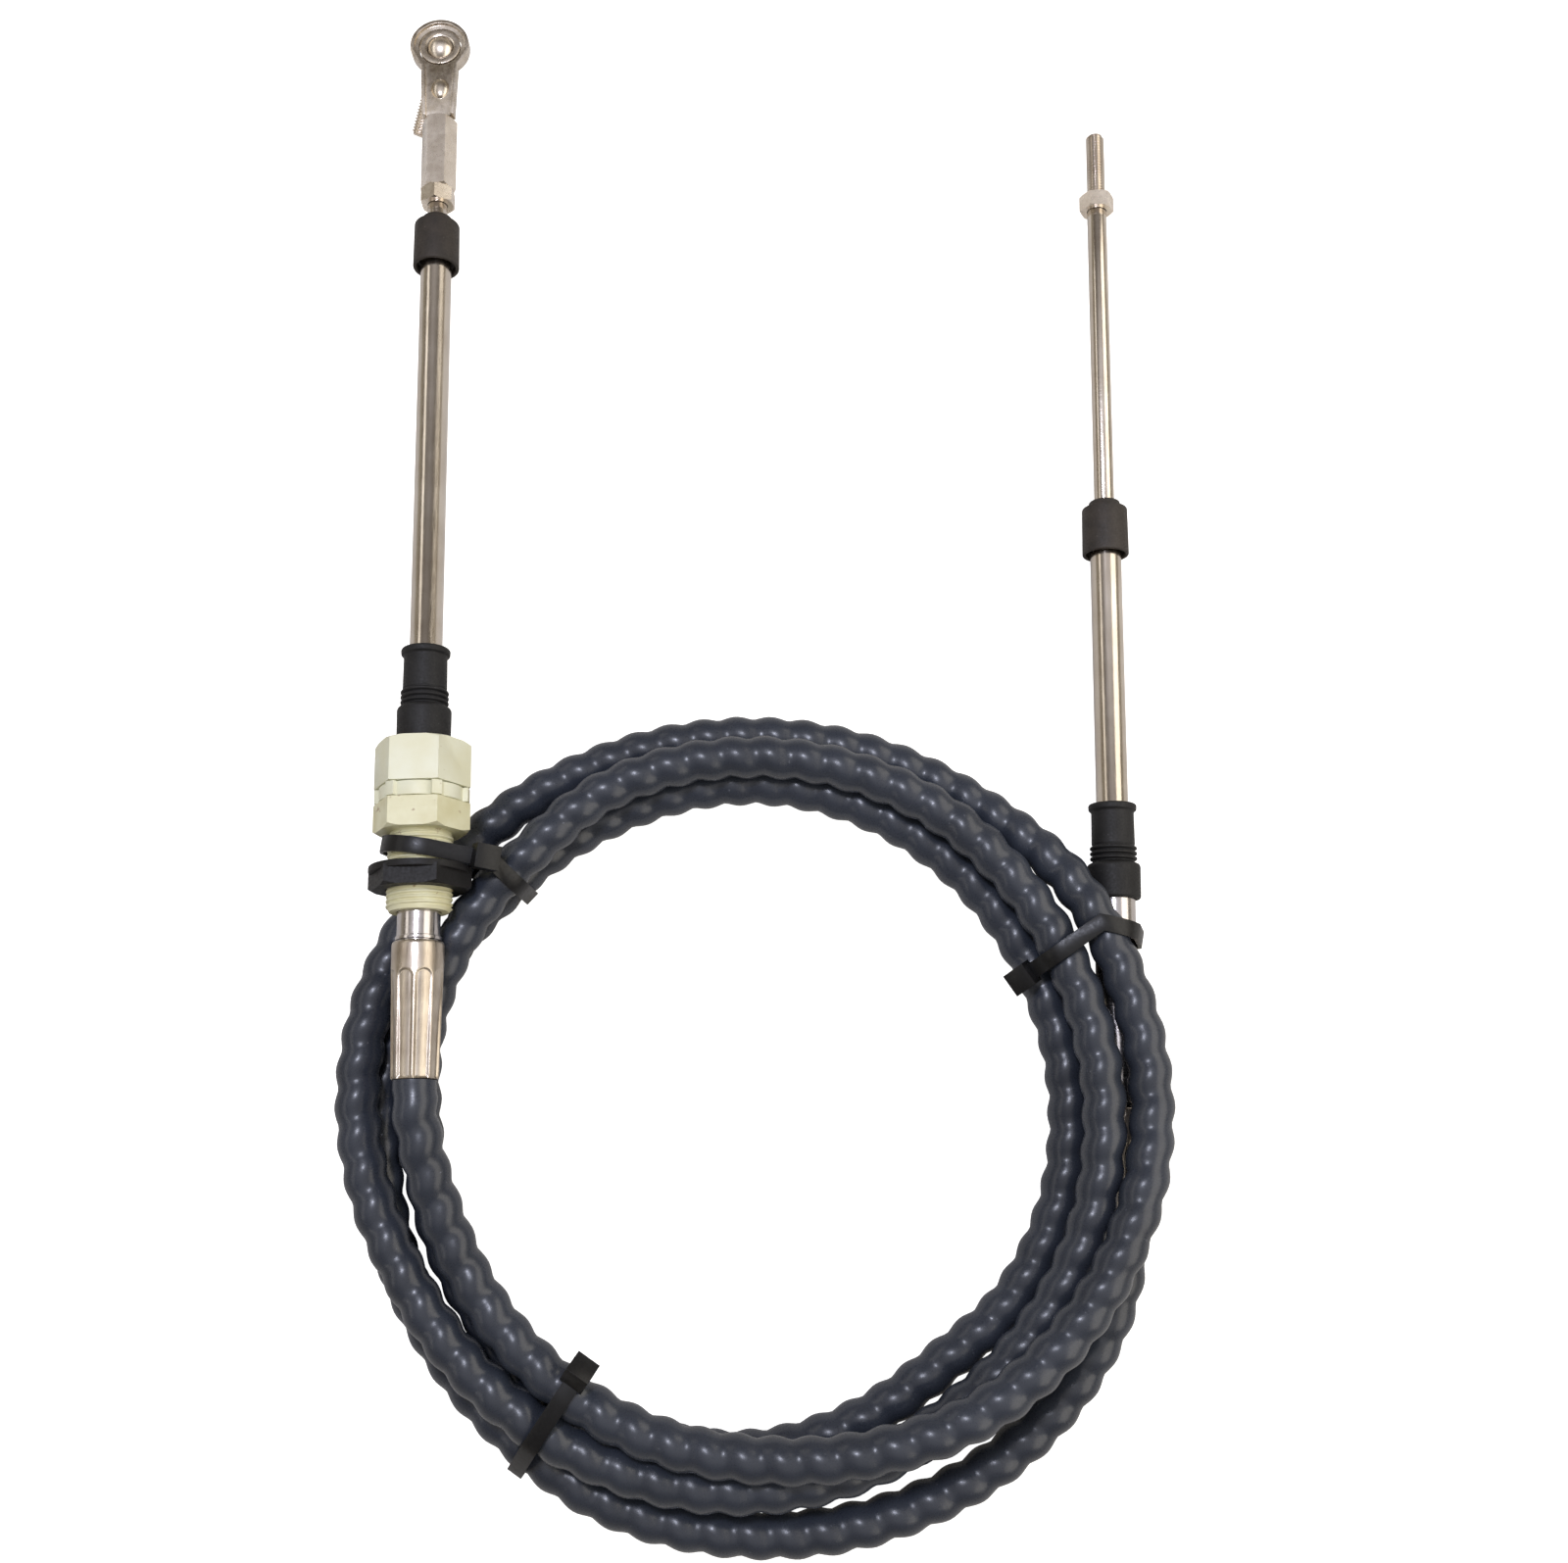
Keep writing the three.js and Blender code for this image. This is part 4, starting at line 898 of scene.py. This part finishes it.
class CABLE_OT_rods(bpy.types.Operator):
    """Make the rods with their threads, the nuts and the coupling"""

    bl_idname = "cable.rods"
    bl_label = "Rods, nuts and coupling"

    def execute(self, context):
        left_inner = LEFT_CAP + CAP_LENGTH - LEFT_ROD_INSIDE
        right_inner = RIGHT_CAP + CAP_LENGTH - RIGHT_ROD_INSIDE
        left_tip = COUPLING + ROD_IN_COUPLING
        make_rod("left_threaded_rod", LEFT, "left_rod", left_inner, LEFT_NUT, left_tip)
        make_rod("right_threaded_rod", RIGHT, "right_rod", right_inner, RIGHT_NUT, RIGHT_TIP)
        jam = hexagon("left_hex_nut", NUT_FLATS, LEFT_NUT, LEFT_NUT + NUT_HEIGHT,
                      NUT_CHAMFER, NUT_CHAMFER, M6_BORE)
        turned_jam = LEFT @ Matrix.Rotation(math.pi / 6, 4, "Y")
        riding(jam, turned_jam, ["left_jam_nut"], FINISH["nut"], bevel=0.12, sharp=30)
        nut = hexagon("right_hex_nut", NUT_FLATS, RIGHT_NUT, RIGHT_NUT + NUT_HEIGHT,
                      NUT_CHAMFER, NUT_CHAMFER, M6_BORE)
        riding(nut, RIGHT, ["right_nut"], FINISH["nut"], bevel=0.12, sharp=30)
        coupling = hexagon("hex_coupling", NUT_FLATS, COUPLING, COUPLING_TOP,
                           COUPLING_CHAMFER, COUPLING_CHAMFER, M6_BORE)
        riding(coupling, LEFT, ["rod_end_coupling"], FINISH["nut"], bevel=0.12, sharp=30)
        return {"FINISHED"}


class CABLE_OT_fitting(bpy.types.Operator):
    """Mould the bulkhead fitting and its locknut"""

    bl_idname = "cable.fitting"
    bl_label = "Bulkhead fitting"

    def execute(self, context):
        make_fitting()
        return {"FINISHED"}


class CABLE_OT_joint(bpy.types.Operator):
    """Make the eye, the race ring and the ball stud"""

    bl_idname = "cable.joint"
    bl_label = "Ball joint"

    def execute(self, context):
        make_eye()
        make_stud()
        return {"FINISHED"}


class CABLE_OT_ties(bpy.types.Operator):
    """Make the nylon ties that hold the coil"""

    bl_idname = "cable.ties"
    bl_label = "Cable ties"

    def execute(self, context):
        for node in ("lower_left_cable_tie", "right_cable_tie", "upper_left_cable_tie"):
            make_tie(node)
        return {"FINISHED"}


class CABLE_OT_stage(bpy.types.Operator):
    """Set the floor, the lights and the camera"""

    bl_idname = "cable.stage"
    bl_label = "Floor, lights and camera"

    def execute(self, context):
        settings = context.scene.cable_stage
        bpy.ops.object.select_all(action="DESELECT")
        bpy.ops.mesh.primitive_plane_add(size=8)
        floor = context.object
        floor.name = "floor"
        floor.data.materials.append(surface(
            "pale_floor", (0.64, 0.63, 0.6), (0.62, 0.61, 0.58), (0.6, 0.7),
            mottle=3, grain=60, depth=0.01))
        tree = floor.data.materials[0].node_tree
        glow = tree.nodes["Principled BSDF"]
        glow.inputs["Emission Color"].default_value = (1, 1, 1, 1)
        seen = tree.nodes.new("ShaderNodeLightPath").outputs["Is Camera Ray"]
        tree.links.new(seen, glow.inputs["Emission Strength"])

        bpy.ops.object.camera_add(location=CAMERA_PLACE, rotation=(CAMERA_TILT, 0, 0))
        camera = context.object
        camera.data.lens = 37.8
        camera.data.sensor_width = 36
        camera.data.sensor_fit = "HORIZONTAL"
        camera.data.clip_start = 0.01
        context.scene.camera = camera

        for name, place, size, share, tint in LIGHTS:
            bpy.ops.object.light_add(type="AREA", location=place)
            light = context.object
            light.name = name
            light.data.shape = "RECTANGLE"
            light.data.size, light.data.size_y = size
            light.data.energy = settings.key_power * share
            light.data.color = tint
            light.rotation_euler = (-Vector(place)).to_track_quat("-Z", "Y").to_euler()

        world = bpy.data.worlds.new("surround")
        world.use_nodes = True
        nodes, links = world.node_tree.nodes, world.node_tree.links
        height = nodes.new("ShaderNodeSeparateXYZ")
        links.new(nodes.new("ShaderNodeTexCoord").outputs["Generated"], height.inputs[0])
        sky = nodes.new("ShaderNodeValToRGB")
        stops = sky.color_ramp.elements
        stops[0].color, stops[1].color = (0.42, 0.38, 0.31, 1), (0.84, 0.82, 0.84, 1)
        stops.new(0.9).color = (0.72, 0.69, 0.69, 1)
        stops.new(0.75).color = (0.28, 0.26, 0.25, 1)
        stops.new(0.5).color = (0.13, 0.11, 0.09, 1)
        links.new(height.outputs["Z"], sky.inputs["Fac"])
        links.new(sky.outputs["Color"], nodes["Background"].inputs["Color"])
        nodes["Background"].inputs["Strength"].default_value = settings.surround
        context.scene.world = world
        context.scene.view_settings.view_transform = "Standard"
        return {"FINISHED"}


class CABLE_PT_panel(bpy.types.Panel):
    """The cable's pieces and settings"""

    bl_idname = "CABLE_PT_panel"
    bl_label = "Steering cable"
    bl_space_type = "VIEW_3D"
    bl_region_type = "UI"
    bl_category = "Cable"

    def draw(self, context):
        for operator in OPERATORS:
            self.layout.operator(operator.bl_idname)
        for group_name, _group in GROUPS:
            group = getattr(context.scene, group_name)
            for key in group.bl_rna.properties.keys():
                if key not in ("rna_type", "name"):
                    self.layout.prop(group, key)


GROUPS = (
    ("cable_conduit", ConduitSettings),
    ("cable_finish", FinishSettings),
    ("cable_stage", StageSettings),
)
OPERATORS = (
    CABLE_OT_stage, CABLE_OT_conduit, CABLE_OT_ferrules, CABLE_OT_boots, CABLE_OT_guides,
    CABLE_OT_rods, CABLE_OT_fitting, CABLE_OT_joint, CABLE_OT_ties,
)


def register():
    for name, group in GROUPS:
        bpy.utils.register_class(group)
        setattr(bpy.types.Scene, name, PointerProperty(type=group))
    for kind in (*OPERATORS, CABLE_PT_panel):
        bpy.utils.register_class(kind)


def unregister():
    for kind in (CABLE_PT_panel, *reversed(OPERATORS)):
        bpy.utils.unregister_class(kind)
    for name, group in reversed(GROUPS):
        delattr(bpy.types.Scene, name)
        bpy.utils.unregister_class(group)


def main():
    register()
    FINISH.update(make_finishes(bpy.context.scene.cable_finish))
    for operator in OPERATORS:
        group, name = operator.bl_idname.split(".")
        getattr(getattr(bpy.ops, group), name)()


if __name__ == "__main__":
    main()
